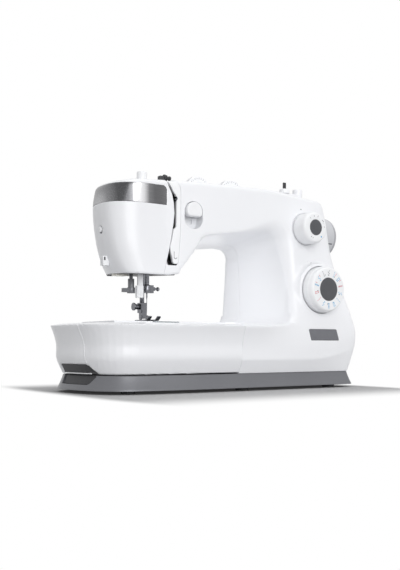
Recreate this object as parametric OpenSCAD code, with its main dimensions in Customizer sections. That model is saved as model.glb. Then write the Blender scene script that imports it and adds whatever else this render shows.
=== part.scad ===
// Household sewing machine, built as an assembly of separate pieces.
// Millimetres, +Z up, +X to the handwheel, -Y to the person sewing.
// The origin is on the table, under the middle of the machine.

/* [Overall] */
// From the origin to the left end of the base plate
base_left = 202.6; // [196:0.1:226]
// From the origin to the right end of the base plate
base_right = 185.3; // [180:0.1:190]
// From the origin to the front edge of the base plate
base_front = 76.8; // [74:0.1:82]
// From the origin to the back edge of the base plate
base_back = 88; // [84:0.5:106]
// Height of the top of the arm
arm_top = 265; // [255:1:318]
// Height of the sewing surface
bed_z = 87; // [84:0.5:88]
// Height of the feet
foot_h = 4.2; // [3:0.1:6]
// Height of the joint between the base plate and the covers
waist_z = 22; // [20:0.5:24]

/* [Covers] */
// Thickness of the moulded covers
wall = 2.6; // [2:0.1:3.2]
// Gap between covers that meet at a seam
seam_gap = 0.3; // [0.2:0.05:0.6]
// Where the front cover meets the rear cover
seam_y = 37; // [36:0.5:38.5]
// Where the accessory tray meets the body
seam_x = -6; // [-12:0.5:0]
// Depth of the band let into the face plate
band_t = 1.2; // [0.8:0.1:1.6]
// Height of the band
band_h = 24; // [18:0.5:28]

/* [Sewing head] */
// Needle, left and right
needle_x = -95.6; // [-97:0.1:-94]
// Needle and main shaft, front and back
needle_y = 6; // [5:0.1:7]
// Presser bar behind the needle
presser_dy = 12; // [11.5:0.1:12.5]
// Diameter of the needle bar
needle_bar_d = 6.4; // [5.6:0.1:6.6]
// Diameter of the presser bar
presser_bar_d = 6; // [5:0.1:6.4]
// Travel of the needle bar
stroke = 30; // [26:0.5:31]
// Height of the needle's point at the top of its stroke
needle_tip_z = 99.3; // [98:0.1:102]
// Lift of the presser foot
foot_lift = 6; // [5:0.5:7]

/* [Drive] */
// Height of the main shaft
shaft_z = 216; // [215:0.5:218]
// Diameter of the main shaft
shaft_d = 9; // [8:0.5:10]
// Height of the lower shaft
lower_z = 46; // [45:0.5:47]
// Radius of the handwheel
wheel_r = 29; // [24:0.5:35]
// Outer face of the handwheel
wheel_x = 210.6; // [205:0.1:216]
// Radius of the rotary hook
hook_r = 17.5; // [17:0.1:18]
// Play of a shaft in its bore, on the radius
play = 0.05; // [0.02:0.01:0.1]

/* [Dials] */
// Radius of the stitch length dial
length_r = 21; // [18:0.5:25]
// Radius of the stitch pattern dial
pattern_r = 30; // [26:0.5:36]
// Radius of the two thumbwheels on the arm
thumb_r = 19; // [17:0.5:20]

/* [Hidden] */
$fn = 64;

far = 400;
eps = 0.01;
clear = 0.3;
flat_gap = 0.15;

presser_y = needle_y + presser_dy;
hook_y = needle_y - hook_r - 1.5;
arm_z = arm_top - 265;
bed_dz = bed_z - 87;
bar_r = needle_bar_d / 2;
press_r = presser_bar_d / 2;
shaft_r = shaft_d / 2;
crank_r = stroke / 2;
frame_y = 44;
frame_t = 6;
floor_z = foot_h + 3;
base_d = 7.4;
base_wall = 4;
tray_flare = wheel_x - base_left;

// ---------- outlines ----------

function unit(v) = v / norm(v);
function left_of(v) = [-v[1], v[0]];
// Moves every side of an anticlockwise outline inwards by d
function inset(p, d) = [
    for (i = [0 : len(p) - 1])
        let (
            before = p[(i + len(p) - 1) % len(p)],
            after = p[(i + 1) % len(p)],
            n1 = left_of(unit(p[i] - before)),
            n2 = left_of(unit(after - p[i]))
        )
        p[i] + d * (n1 + n2) / (1 + n1 * n2)
];
function bezier_point(p, t) =
    pow(1 - t, 3) * p[0] + 3 * pow(1 - t, 2) * t * p[1]
    + 3 * (1 - t) * pow(t, 2) * p[2] + pow(t, 3) * p[3];
function bezier(p, n) = [for (i = [0 : n - 1]) bezier_point(p, i / n)];
function arc(c, r, a0, a1, n) = [
    for (i = [0 : n]) c + r * [cos(a0 + (a1 - a0) * i / n), sin(a0 + (a1 - a0) * i / n)]
];

// Base plate seen from above: a bowed left end and square right end
bow_y = 30;
left_corner = [-base_left + 52, -base_front + 8.8];
back_corner = [-base_left + 54, base_back];
base_plan = concat(
    bezier([
        [-base_left, bow_y], [-base_left, bow_y - 42],
        [-base_left + 6.6, -base_front + 14.8], left_corner
    ], 10),
    bezier([
        left_corner, left_corner + [30, -4.5],
        [-base_left + 123, -base_front + 0.6], [-base_left + 156, -base_front + 0.3]
    ], 4),
    arc([base_right - 4, -base_front + 4], 4, -90, 0, 4),
    arc([base_right - 10, base_back - 10], 10, 0, 90, 6),
    bezier([back_corner, back_corner + [-30, 0], [-base_left, base_back - 28], [-base_left, bow_y]], 8)
);

// Body seen from the front, with no opening under the arm
edge_low = [169, 184];
edge_high = [162, 237 + arm_z];
// Right-hand edge of the column beside the main shaft
function column_edge(z) =
    edge_low[0] + (edge_high[0] - edge_low[0]) * (z - edge_low[1]) / (edge_high[1] - edge_low[1]);
body_front = [
    [base_right - 0.8, waist_z - 12], [base_right - 0.8, waist_z],
    [base_right + 6.7, waist_z + 17], [base_right + 12.7, 60], [base_right + 12.7, 80],
    [189, 126], [173, 168], edge_low, edge_high, [157, 256 + arm_z],
    [149, 262 + arm_z], [138, 264 + arm_z], [110, arm_top],
    [-142, arm_top], [-151, 262 + arm_z], [-156, 256 + arm_z],
    [-163, 232 + arm_z], [-162, 205 + arm_z], [-159, 181 + arm_z],
    [-155, 167], [-151, 155], [-148, 145], [-148, waist_z - 12]
];
// Body seen from the right
body_side = [
    [-69, waist_z - 12], [base_back - base_d, waist_z - 12], [base_back - base_d, waist_z],
    [base_back - 2, waist_z + 17], [base_back - 3, 60], [80, 85], [74, 132],
    [72, 240 + arm_z], [69, 258 + arm_z], [60, arm_top], [-34, arm_top],
    [-46, 262 + arm_z], [-52, 255 + arm_z], [-56, 215 + arm_z], [-64, 132], [-76, 85],
    [-78, 60], [-77, waist_z + 17], [-69, waist_z]
];
// Bed seen from the right, with its flared rim
bed_side = [
    [-69, waist_z - 12], [base_back - base_d, waist_z - 12], [base_back - base_d, waist_z],
    [base_back - 2, waist_z + 17], [base_back - 3, 60], [base_back - 4, bed_z - 4],
    [base_back - 8, bed_z], [-62, bed_z], [-78, bed_z - 2.5], [-84, bed_z - 4.6],
    [-78.2, 60], [-77, waist_z + 17], [-69, waist_z]
];
// Arm and head seen from above: a round head, then a front that runs out to the column
arm_left = -88;
arm_plan = concat(
    bezier([[-164, 20], [-164, -10], [-142, -28.8], [-112, -28.8]], 8),
    [
        [arm_left, -28], [86, -54.6], [90, -90], [far, -90], [far, 90], [-100, 90]
    ],
    bezier([[-110, 71], [-135, 69], [-158, 47], [-164, 20]], 8)
);
head_z = 145;
// Head seen across its rear left corner, where it narrows downwards
corner_turn = -27;
head_corner = [
    [far, 0], [far, arm_top + 4], [-144, arm_top + 4], [-152, 259 + arm_z], [-154.6, 245 + arm_z],
    [-154.6, 210], [-152, 197], [-148.2, 171], [-144.5, 159], [-139.9, 148], [-133.9, 143],
    [-133.9, 0]
];
// Opening under the arm, on the front face and on the back face
under_arm_front = [
    [-116.6, bed_z], [80, bed_z], [82.5, 101], [86, 134], [81, 191], [76, 205],
    [65, 210.4], [48.5, 209], [-31.5, 198.4], [-41, 190], [-48, 178.4], [-72.4, 146]
];
under_arm_back = [
    [-116.6, bed_z], [65, bed_z], [67.5, 97], [71.8, 120], [74, 183], [71, 192],
    [64, 196], [48.5, 195.4], [-31.5, 190], [-40, 184], [-48, 175], [-72.4, 146]
];
// Joint between the face plate and the front cover
face_seam = [
    [-88, head_z - 5], [-88, head_z], [-83, 161], [-78, 189], [-75.7, 220], [-76.8, 235 + arm_z],
    [-79.8, 251 + arm_z], [-83, arm_top + 5]
];
// Thread channel on the front, between the face plate and the arm
channel_right = [[-71.5, 150], [-70.6, 170], [-68.3, 202], [-68, 253 + arm_z], [-74, arm_top + 5]];
channel_left = [
    [-80, arm_top + 5], [-74.1, 253 + arm_z], [-73.7, 235 + arm_z], [-74.1, 220],
    [-74.2, 184], [-76.8, 176], [-77.4, 166], [-76.4, 152]
];
name_plate_pts = [[111.3, 64.2], [162, 64.2], [158, 79.3], [107.7, 79.3]];

// ---------- construction helpers ----------

// Solid between two heights in Y from an outline in X and Z
module xz(y0, y1, p) {
    translate([0, y1, 0]) rotate([90, 0, 0]) linear_extrude(y1 - y0) polygon(p);
}
// Solid between two places in X from an outline in Y and Z
module yz(x0, x1, p) {
    translate([x0, 0, 0]) rotate([90, 0, 90]) linear_extrude(x1 - x0) polygon(p);
}
module xy(z0, z1, p) {
    translate([0, 0, z0]) linear_extrude(z1 - z0) polygon(p);
}
module box(a, b) {
    translate(a) cube(b - a);
}
module rod_x(x0, x1, y, z, r) {
    translate([x0, y, z]) rotate([0, 90, 0]) cylinder(r = r, h = x1 - x0);
}
module rod_y(y0, y1, x, z, r) {
    translate([x, y1, z]) rotate([90, 0, 0]) cylinder(r = r, h = y1 - y0);
}
module rod_z(z0, z1, x, y, r) {
    translate([x, y, z0]) cylinder(r = r, h = z1 - z0);
}
module slice(p, z) {
    translate([0, 0, z]) linear_extrude(eps) polygon(p);
}
// Side wall between outlines at two heights
module flare(p0, z0, p1, z1) {
    hull() {
        slice(p0, z0);
        slice(p1, z1 - eps);
    }
}
module at_x(x0, x1) {
    intersection() {
        children();
        box([x0, -far, -far], [x1, far, far]);
    }
}
module under_arm(d) {
    front = inset(under_arm_front, -d);
    back = inset(under_arm_back, -d);
    hull() {
        xz(-53, -53 + eps, front);
        xz(-100, -100 + eps, front);
        xz(72 - eps, 72, back);
        xz(100 - eps, 100, back);
    }
    box([-far, -100, bed_z - d], [-72, 100, head_z + d]);
}

module across_corner(p) {
    rotate([0, 0, corner_turn]) xz(-far, far, p);
}

// Outer skin of the covers, shrunk by d
module body_solid(d) {
    difference() {
        intersection() {
            xz(-100, 100, inset(body_front, d));
            yz(-200, 220, inset(body_side, d));
            xy(0, 320, inset(arm_plan, d));
            across_corner(inset(head_corner, d));
        }
        under_arm(d);
        box([-far, -100, -eps], [90 + d, 100, bed_z]);
    }
    at_x(seam_x, 95) yz(seam_x - 20, 120, inset(bed_side, d));
    intersection() {
        xz(-100, 100, inset(body_front, d));
        yz(85, 220, inset(body_side, d));
        box([85, -100, 0], [220, 100, bed_z + 40]);
        box([85 + d, -100, 0], [far, 100, far]);
    }
}
// Every cover's wall before it is cut into pieces
module body_shell() {
    difference() {
        body_solid(0);
        difference() {
            body_solid(wall);
            // end wall of the body, behind the tray
            box([seam_x - 1, -far, 0], [seam_x + wall, far, bed_z - wall]);
        }
        // the head is open below, where its base plate closes it
        intersection() {
            box([-170, -100, head_z - 10], [-74, 100, head_z + wall + 1]);
            xy(0, far, inset(arm_plan, wall));
            across_corner(inset(head_corner, wall));
            xz(-100, 100, inset(body_front, wall));
        }
        box([-far, -far, -far], [far, far, waist_z]);
    }
}
module face_side(shift) {
    xz(-100, seam_y, concat(
        [for (p = face_seam) p + [shift, 0]],
        [[-180, arm_top + 5], [-180, head_z - 5]]
    ));
}
module channel_pocket(grow) {
    foot = channel_right[0] + [grow, -2 * grow];
    pts = concat([foot], [for (i = [1 : 4]) channel_right[i] + [grow, 0]], channel_left);
    xz(-60, -20, pts);
    xz(-30, 3, [[-75, 258 + arm_z], [-71 + grow, 258 + arm_z], [-71 + grow, far], [-75, far]]);
}
// Slit that the take-up lever moves in
module lever_slit() {
    xz(-60, -20, concat(channel_left, [
        [-82, 150], [-81, 160], [-78.6, 189], [-76.2, 220], [-77.3, 235 + arm_z],
        [-80.3, 251 + arm_z], [-83.5, arm_top + 5]
    ]));
}

// ---------- base ----------

foot_places = [[-152, -46], [-152, 58], [10, -55], [10, 66], [160, -55], [160, 66]];
arm_x0 = -166;
arm_y0 = -38;
arm_y1 = 48;
arm_side = 3;
grip_x = -193;
grip_pts = [[37, 11], [37, 35.5], [-24, 35.5], [-34, 24], [-24, 11]];
frame_feet = [[98, 34], [98, 46], [128, 34], [128, 46], [-145, 33]];

module rubber_feet() {
    color("dimgray") for (p = foot_places) {
        rod_z(0, foot_h, p[0], p[1], 8.5);
    }
}
module base_plate() {
    color("lightslategray") difference() {
        flare(base_plan, foot_h, inset(base_plan, base_d), waist_z);
        // hollow from above, inside the body and the free arm
        box(
            [seam_x + 4, -base_front + base_d + base_wall, floor_z],
            [base_right - base_d - base_wall, base_back - base_d - base_wall, far]
        );
        box([arm_x0 - flat_gap, arm_y0 - flat_gap, floor_z], [seam_x + 5, arm_y1 + flat_gap, far]);
        // hollow from below, under the tray
        box([-138, -60, foot_h - 1], [seam_x - 6, arm_y0 - 3, waist_z - 3]);
        box([-138, arm_y1 + 3, foot_h - 1], [seam_x - 6, base_back - 14, waist_z - 3]);
        yz(-far, grip_x, grip_pts);
        for (p = frame_feet) {
            rod_z(0, far, p[0], p[1], 2.1);
            rod_z(0, foot_h + 1.4, p[0], p[1], 4);
        }
    }
}

// ---------- covers ----------

length_x = 116;
length_z = 215 + arm_z;
length_face = -79;
pattern_x = 131.5;
pattern_z = 132.5;
pattern_face = -87.2;
dial_shaft_r = 4;
dial_shaft_l = 14;
dial_lift = 1;
dial_cap_t = 0.8;
dial_cap_share = 0.52;
pattern_step = 1;
pocket_gap = 1.2;
reverse_x = -50.2;
reverse_z = 222 + arm_z;
reverse_pivot_x = 10;
thumb_z = 277 + arm_z - thumb_r;
tension_x = -30;
width_x = 23;
thumb_y0 = -16;
thumb_y1 = -7;
thumb_shaft_r = min(2.5, arm_top - wall - clear - thumb_z - 1.5);
pressure_x = needle_x;
winder_x = 118;
winder_y = -12;
stop_x = 142;
lifter_x = -84;
lifter_z = 165;
handle_z = 254 + arm_z;
handle_y = 79;
handle_x0 = -38;
handle_x1 = 100;
handle_drop = 34;
handle_grip = 12;
ear_r = 4;
hinge_pin_r = 1.5;
pin_y = 54;
pin_z = 256 + arm_z;
side_x = base_right + 12.7;
inlet_y0 = -22;
inlet_y1 = 4;
inlet_z0 = 54;
inlet_z1 = 78;
switch_y0 = -52;
switch_y1 = -32;
switch_z = (inlet_z0 + inlet_z1) / 2;
switch_x = side_x - 6.5;
rear_screws = [[-112, 165], [-112, 250 + arm_z], [110, 245 + arm_z], [118, 40]];
rear_screw_y = [72, 70, 71, base_back - 2.5];
screw_r = 1.8;
screw_head_r = 3.5;
screw_sink = 6;
screw_boss_r = 5.5;

module dial_pocket(x, z, r, floor_y) {
    rod_y(-100, floor_y, x, z, r + pocket_gap);
    rod_y(floor_y - eps, -30, x, z, dial_shaft_r + play);
}
module dial_seat(x, z, r, floor_y) {
    intersection() {
        union() {
            rod_y(-100, floor_y + wall, x, z, r + pocket_gap + wall);
            rod_y(floor_y, floor_y + 9, x, z, dial_shaft_r + 4);
        }
        union() {
            body_solid(0);
            rod_y(floor_y, floor_y + 9, x, z, dial_shaft_r + 4);
        }
    }
}
length_floor = -56.5;
pattern_floor = -65.5;
reverse_floor = -20;
cup_r = 12.5;
cup_wall = 1.6;
paddle_r = cup_r - 0.9;
reverse_pts = concat(
    arc([reverse_x, reverse_z + 5], cup_r, 0, 180, 12),
    arc([reverse_x, reverse_z - 5], cup_r, 180, 360, 12)
);
module front_cover() {
    color("whitesmoke") difference() {
        union() {
            intersection() {
                body_shell();
                box([-far, -far, -far], [far, seam_y - seam_gap / 2, far]);
            }
            dial_seat(length_x, length_z, length_r, length_floor);
            dial_seat(pattern_x, pattern_z, pattern_r + pattern_step, pattern_floor);
            // cup round the reverse lever, and the boss that the lever turns on
            intersection() {
                body_solid(0);
                xz(-60, reverse_floor, inset(reverse_pts, -cup_wall));
            }
            rod_y(-43, reverse_floor, reverse_pivot_x, reverse_z, 5);
            // turret under the bobbin winder, with the stop beside it
            box(
                [winder_x - 8, winder_y - 7, arm_top - wall],
                [stop_x, winder_y + 7, arm_top + 5]
            );
            rod_z(arm_top - wall, winder_z + 1.5, stop_x, winder_y, 7);
        }
        face_side(seam_gap);
        channel_pocket(seam_gap);
        lever_slit();
        at_x(-far, seam_x) box([-far, -far, 0], [far, far, bed_z + 0.2]);
        free_arm_space();
        dial_pocket(length_x, length_z, length_r, length_floor);
        dial_pocket(pattern_x, pattern_z, pattern_r + pattern_step, pattern_floor);
        xz(-60, reverse_floor - 1.4, reverse_pts);
        xz(-60, reverse_floor + 1, [
            [reverse_x - 5, reverse_z - 10], [reverse_x + 5, reverse_z - 10],
            [reverse_x + 5, reverse_z + 12], [reverse_x - 5, reverse_z + 12]
        ]);
        rod_y(-40, 0, reverse_pivot_x, reverse_z, 2 + play);
        for (x = [tension_x, width_x]) {
            box(
                [x - thumb_r - 0.6, thumb_y0 - 0.8, arm_top - 10],
                [x + thumb_r + 0.6, thumb_y1 + 0.8, far]
            );
        }
        rod_z(arm_top - 10, far, pressure_x, presser_y, 4);
        rod_z(arm_top - 12, far, winder_x, winder_y, 2.5 + play);
        rod_x(100, 250, needle_y, shaft_z, shaft_r + 2);
        box([side_x - 25, switch_y0, inlet_z0], [side_x + 5, inlet_y1, inlet_z1]);
        intersection() {
            xz(-100, -60, inset(name_plate_pts, -0.1));
            trim_skin();
        }
    }
}
// Outermost layer of the covers, where thin trim is let in
module trim_skin() {
    difference() {
        body_solid(0);
        body_solid(band_t);
    }
}
module rear_cover() {
    color("whitesmoke") difference() {
        union() {
            intersection() {
                body_shell();
                box([-far, seam_y + seam_gap / 2, -far], [far, far, far]);
            }
            // spool well
            intersection() {
                body_solid(0);
                box([-34, seam_y + 1.5, 238 + arm_z], [78, 70, far]);
            }
            for (i = [0 : len(rear_screws) - 1]) {
                p = rear_screws[i];
                rod_y(frame_y + frame_t + 1, rear_screw_y[i] - 1, p[0], p[1], screw_boss_r);
            }
            for (x = [handle_x0 - 7, handle_x0 + 4, handle_x1 - 8, handle_x1 + 3]) {
                box([x, 69, handle_z - 6], [x + 4, handle_y, handle_z + ear_r]);
                rod_x(x, x + 4, handle_y, handle_z, ear_r);
            }
        }
        box([-32, seam_y + 3.5, 240 + arm_z], [76, 68, far]);
        at_x(-far, seam_x) box([-far, -far, 0], [far, far, bed_z + 0.2]);
        free_arm_space();
        rod_x(60, 100, pin_y, pin_z, 2.6);
        rod_y(0, 100, lifter_x, lifter_z, 3 + play);
        rod_x(handle_x0 - 20, handle_x1 + 20, handle_y, handle_z, hinge_pin_r + play);
        for (i = [0 : len(rear_screws) - 1]) {
            p = rear_screws[i];
            rod_y(0, 120, p[0], p[1], screw_r + play);
            rod_y(rear_screw_y[i] - screw_sink, 120, p[0], p[1], screw_head_r + 0.4);
        }
    }
}
face_screw_z = 200;
face_screw_y = 11;
module face_plate() {
    color("whitesmoke") difference() {
        union() {
            intersection() {
                body_shell();
                face_side(-seam_gap / 2);
                box([-far, -far, -far], [far, seam_y - seam_gap / 2, far]);
            }
            intersection() {
                body_solid(0);
                rod_x(-170, -142, face_screw_y, face_screw_z, 6);
            }
            // thread cutter
            box([-156, face_screw_y - 4, 156], [-149, face_screw_y + 4, 168]);
        }
        rod_x(-170, -130, face_screw_y, face_screw_z, screw_r + play);
        rod_x(-170, -154, face_screw_y, face_screw_z, 3.5);
        rod_z(arm_top - 10, far, pressure_x, presser_y, 4);
        band_ring();
        box([-160, face_screw_y - 2, 162], [-153, face_screw_y + 1, 172]);
    }
}
band_z = 232;
module band_ring() {
    intersection() {
        trim_skin();
        box([-far, -far, band_z], [-86.5, seam_y - seam_gap / 2, band_z + band_h]);
    }
}
module face_band() {
    color("silver") band_ring();
}
module head_base() {
    color("dimgray") difference() {
        intersection() {
            xy(head_z, head_z + wall, inset(arm_plan, wall + flat_gap));
            across_corner(inset(head_corner, wall + flat_gap));
            xz(-100, 100, inset(body_front, wall + flat_gap));
            box([-170, -100, head_z - 1], [-74.5, 70, head_z + 10]);
        }
        box([needle_x - 9, needle_y - 12, 0], [needle_x + 9, presser_y + 8, far]);
        rod_z(0, far, threader_x, threader_y, 5);
        box([-116, -6.5, 0], [-107, -2.5, far]);
        box([lamp_x - 8.15, lamp_y - 7.15, 0], [lamp_x + 8.15, lamp_y + 7.15, far]);
    }
}
module thread_channel() {
    color("white") difference() {
        intersection() {
            body_solid(0);
            channel_pocket(0);
            box([-far, -60, 0], [far, -24, arm_top - 3]);
        }
        // catch for the thread
        xz(-60, far, [[-74.6, 156], [-73.9, 156], [-73.9, 166], [-74.6, 166]]);
    }
}
module name_plate() {
    color("gray") intersection() {
        xz(-100, -60, name_plate_pts);
        trim_skin();
    }
}

// ---------- free arm and tray ----------

plate_t = 2.2;
top_t = 4;
plate_x0 = -122;
plate_x1 = -62;
plate_y0 = -9;
plate_y1 = 44;
cover_x0 = -113;
cover_x1 = -75;
plate_screws = [[-117, 39], [-67, 39]];
arm_x1 = seam_x + 8;

module free_arm_space() {
    box([arm_x0 - 1, arm_y0 - clear, 0], [arm_x1 + flat_gap, arm_y1 + clear, bed_z + eps]);
}
module free_arm_cover() {
    color("whitesmoke") difference() {
        box([arm_x0, arm_y0, floor_z], [arm_x1, arm_y1, bed_z]);
        box([arm_x0 + arm_side, arm_y0 + arm_side, 0], [far, arm_y1 - arm_side, bed_z - top_t]);
        box([plate_x0 - 0.2, plate_y0 - 0.2, bed_z - plate_t], [plate_x1 + 0.2, plate_y1 + 0.2, far]);
        box([plate_x0 + 3, arm_y0 + 5, 0], [plate_x1 - 3, plate_y1 - 9, far]);
        box([cover_x0 - clear, arm_y0 - 5, bed_z - 2], [cover_x1 + clear, plate_y0, far]);
        for (p = plate_screws) {
            rod_z(0, far, p[0], p[1], screw_r - play);
        }
    }
}
rail_w = 4;
rail_dx = 7.3;
module needle_plate() {
    color("lightgray") difference() {
        box([plate_x0, plate_y0, bed_z - plate_t + eps], [plate_x1, plate_y1, bed_z]);
        for (s = [-1, 1]) {
            box(
                [needle_x + s * rail_dx - rail_w / 2 - 0.8, needle_y - 10, 0],
                [needle_x + s * rail_dx + rail_w / 2 + 0.8, needle_y + 20, far]
            );
        }
        // needle slot, as wide as the zigzag
        box([needle_x - 4, needle_y - 1.2, 0], [needle_x + 4, needle_y + 1.2, far]);
        for (p = plate_screws) {
            rod_z(0, far, p[0], p[1], screw_r);
            rod_z(bed_z - 1.3, far, p[0], p[1], 3.2);
        }
    }
}
module bobbin_cover() {
    color([0.8, 0.85, 0.88, 0.5]) difference() {
        box([cover_x0, arm_y0 + 1, bed_z - 2 + eps], [cover_x1, plate_y0 - clear, bed_z]);
        box([cover_x0 + 6, arm_y0 + 2.5, bed_z - 0.8], [cover_x0 + 10, arm_y0 + 9, far]);
    }
}
tray_top = bed_z - 2.5;
tray_rim = bed_z - 4.6;
tray_x1 = seam_x - clear;
lid_x0 = -140;
lid_x1 = -12;
lid_y0 = -72;
lid_y1 = -42;
lid_t = 2;
lid_pin_r = 1.2;
crease_z = waist_z + 17;
flare_z = 60;
bulge = 1.2;
function tray_outline(z) =
    z < crease_z ? inset(base_plan, base_d * (crease_z - z) / 17)
    : z < flare_z ? inset(base_plan, -bulge * (z - crease_z) / 21)
    : inset(base_plan, -bulge - (tray_flare - bulge) * (z - flare_z) / (tray_rim - flare_z));
module tray_outside() {
    at_x(-far, tray_x1) intersection() {
        box([-far, -far, 0], [far, base_back - 3, far]);
        union() {
            flare(tray_outline(waist_z + clear), waist_z + clear, tray_outline(crease_z), crease_z);
            flare(tray_outline(crease_z), crease_z, tray_outline(flare_z), flare_z);
            flare(tray_outline(flare_z), flare_z, tray_outline(tray_rim), tray_rim);
            flare(tray_outline(tray_rim), tray_rim, inset(base_plan, 8), tray_top);
        }
    }
}
module accessory_tray() {
    color("whitesmoke") difference() {
        tray_outside();
        box([arm_x0 - clear - flat_gap, arm_y0 - clear, 0], [far, arm_y1 + clear, far]);
        // store for accessories under the lid
        intersection() {
            box([lid_x0 + 3, lid_y0 + 4, 27], [lid_x1 - 3, lid_y1 - 1, far]);
            xy(0, far, inset(base_plan, 9));
        }
        box(
            [lid_x0 - clear, lid_y0 - 2 * clear, tray_top - lid_t - clear],
            [lid_x1 + clear, lid_y1 + clear, far]
        );
        rod_x(lid_x0 - 4, lid_x1 + 3, lid_y0 + 1.5, tray_top - 1.4, lid_pin_r + play);
        // hollow from below at the end and along the back
        box([grip_x + 4, -26, 0], [arm_x0 - 4, 40, 76]);
        box([-150, arm_y1 + 4, 0], [seam_x - 6, base_back - 14, 76]);
        yz(-far, grip_x, grip_pts);
    }
}
module tray_lid() {
    color("white") {
        box([lid_x0, lid_y0 + 1.5, tray_top - lid_t], [lid_x1, lid_y1, tray_top]);
        rod_x(lid_x0 - 3.5, lid_x1 + 2.5, lid_y0 + 1.5, tray_top - 1.4, lid_pin_r);
    }
}
module tray_grip() {
    color("dimgray") intersection() {
        yz(grip_x - 1.6, grip_x, inset(grip_pts, 0.2));
        tray_outside();
    }
}

// ---------- frame ----------

beam_z0 = 25;
beam_z1 = 33;
lug_x = [[-52, -44], [33, 41], [122, 130]];
low_lug_x = [[-112, -106], [-60, -52], [122, 130]];
bush_r = 7.5;
pivot_x = needle_x - 12;
pivot_z = 244;
lever_x0 = -75.6;
lever_x1 = -74.6;
lever_y = 28;
lever_z = 236;
threader_x = -119;
threader_y = 5;
feed_rod_z = 66;
motor_y = 44;
motor_z = 72;
motor_x0 = 158;
motor_x1 = 190;
motor_r = 20;
lamp_x = -127.5;
lamp_y = 18.5;

module main_frame() {
    color("darkgray") difference() {
        union() {
            // upright plate behind the shafts
            xz(frame_y, frame_y + frame_t, [
                [92, beam_z0], [134, beam_z0], [134, 232], [-50, 232], [-50, 250],
                [-126, 250], [-126, 160], [-104, 150], [-74, 150], [-74, 206], [92, 206]
            ]);
            for (x = lug_x) {
                box([x[0], needle_y - 10, shaft_z - 9], [x[1], frame_y + 1, shaft_z + 9]);
            }
            box([-148, 27, beam_z0], [134, 39, beam_z1]);
            box([92, 27, beam_z0], [134, frame_y + frame_t, 40]);
            for (x = low_lug_x) {
                box([x[0], needle_y - 9, beam_z1 - 4], [x[1], 39, lower_z + 9]);
            }
            // legs to the base plate
            box([92, 30, floor_z], [134, frame_y + frame_t, beam_z0 + 1]);
            box([-151, 27, floor_z], [-139, 39, beam_z0 + 1]);
            // bearing of the hook, and the rod of the feed
            box([needle_x - 9, hook_y - 8, beam_z0], [needle_x + 9, 28, beam_z0 + 6]);
            box([needle_x - 8, hook_y - 8, beam_z0], [needle_x + 8, hook_y + 8, 38]);
            box([needle_x - 5, 33, beam_z1 - 1], [needle_x + 5, 39, feed_rod_z + 5]);
            rod_y(11, 34, needle_x, feed_rod_z, 3);
            // guides of the presser bar
            box([needle_x - 7, presser_y - 4, 150], [needle_x + 7, frame_y + 1, 156]);
            box([needle_x - 7, presser_y - 4, 226], [needle_x + 7, frame_y + 1, 232]);
            // pivot of the needle bar frame
            box([pivot_x - 6, needle_y + 10, pivot_z - 6], [pivot_x + 6, frame_y + 1, pivot_z + 6]);
            rod_y(needle_y + 3.8, needle_y + 11, pivot_x, pivot_z, 3);
            // guide of the threader
            box([threader_x - 5, threader_y - 5, 160], [threader_x + 5, frame_y + 1, 166]);
            // bracket of the take-up lever
            box([-82, lever_y - 5, lever_z - 5], [lever_x0 - 0.5, frame_y + 1, lever_z + 5]);
            rod_x(-80, lever_x1 + 0.3, lever_y, lever_z, 1.5);
            // posts of the circuit board
            for (p = [[100, 90], [128, 90], [100, 180], [128, 180]]) {
                rod_y(frame_y + frame_t - 1, 56, p[0], p[1], 3);
            }
        }
        for (x = lug_x) {
            rod_x(x[0] - 1, x[1] + 1, needle_y, shaft_z, bush_r);
        }
        for (x = low_lug_x) {
            rod_x(x[0] - 1, x[1] + 1, needle_y, lower_z, bush_r);
        }
        rod_z(0, 60, needle_x, hook_y, 4 + play);
        rod_z(140, 240, needle_x, presser_y, press_r + play);
        rod_z(140, 170, threader_x, threader_y, 2.2 + play);
        rod_y(0, 60, lifter_x, lifter_z, 3 + play);
        for (p = frame_feet) {
            rod_z(0, floor_z + 10, p[0], p[1], 2);
        }
    }
}
module shaft_bushes() {
    color("goldenrod") {
        for (x = lug_x) {
            difference() {
                rod_x(x[0], x[1], needle_y, shaft_z, bush_r);
                rod_x(x[0] - 1, x[1] + 1, needle_y, shaft_z, shaft_r + play);
            }
        }
        for (x = low_lug_x) {
            difference() {
                rod_x(x[0], x[1], needle_y, lower_z, bush_r);
                rod_x(x[0] - 1, x[1] + 1, needle_y, lower_z, shaft_r + play);
            }
        }
    }
}

// ---------- drive ----------

rod_x0 = -74;
rod_x1 = -69;
crank_z = shaft_z + crank_r;
stud_z = shaft_z + crank_r - 35;
belt_x0 = 108;
belt_x1 = 116;
timing_r = 14;
drive_x0 = 145;
drive_x1 = 153;
drive_r = 22;
motor_pulley_r = 6;
belt_t = 1.8;
hub_r = 12;
hub_x = column_edge(shaft_z - hub_r) + 1.1;

module main_shaft() {
    color("silver") {
        rod_x(-66, wheel_x - 6, needle_y, shaft_z, shaft_r);
        // crank with its counterweight
        intersection() {
            rod_x(-66, -58, needle_y, shaft_z, 20);
            union() {
                box([-66, -20, shaft_z - 30], [-58, 40, shaft_z]);
                box([-66, needle_y - 7, shaft_z - 5], [-58, needle_y + 7, shaft_z + 30]);
            }
        }
        rod_x(rod_x0, -65, needle_y, crank_z, 3);
    }
}
module connecting_rod() {
    color("silver") difference() {
        union() {
            rod_x(rod_x0, rod_x1, needle_y, crank_z, 6);
            rod_x(rod_x0, rod_x1, needle_y, stud_z, 6);
            box([rod_x0, needle_y - 3.5, stud_z], [rod_x1, needle_y + 3.5, crank_z]);
        }
        rod_x(rod_x0 - 1, rod_x1 + 1, needle_y, crank_z, 3 + play);
        rod_x(rod_x0 - 1, rod_x1 + 1, needle_y, stud_z, 3 + play);
    }
}
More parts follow.
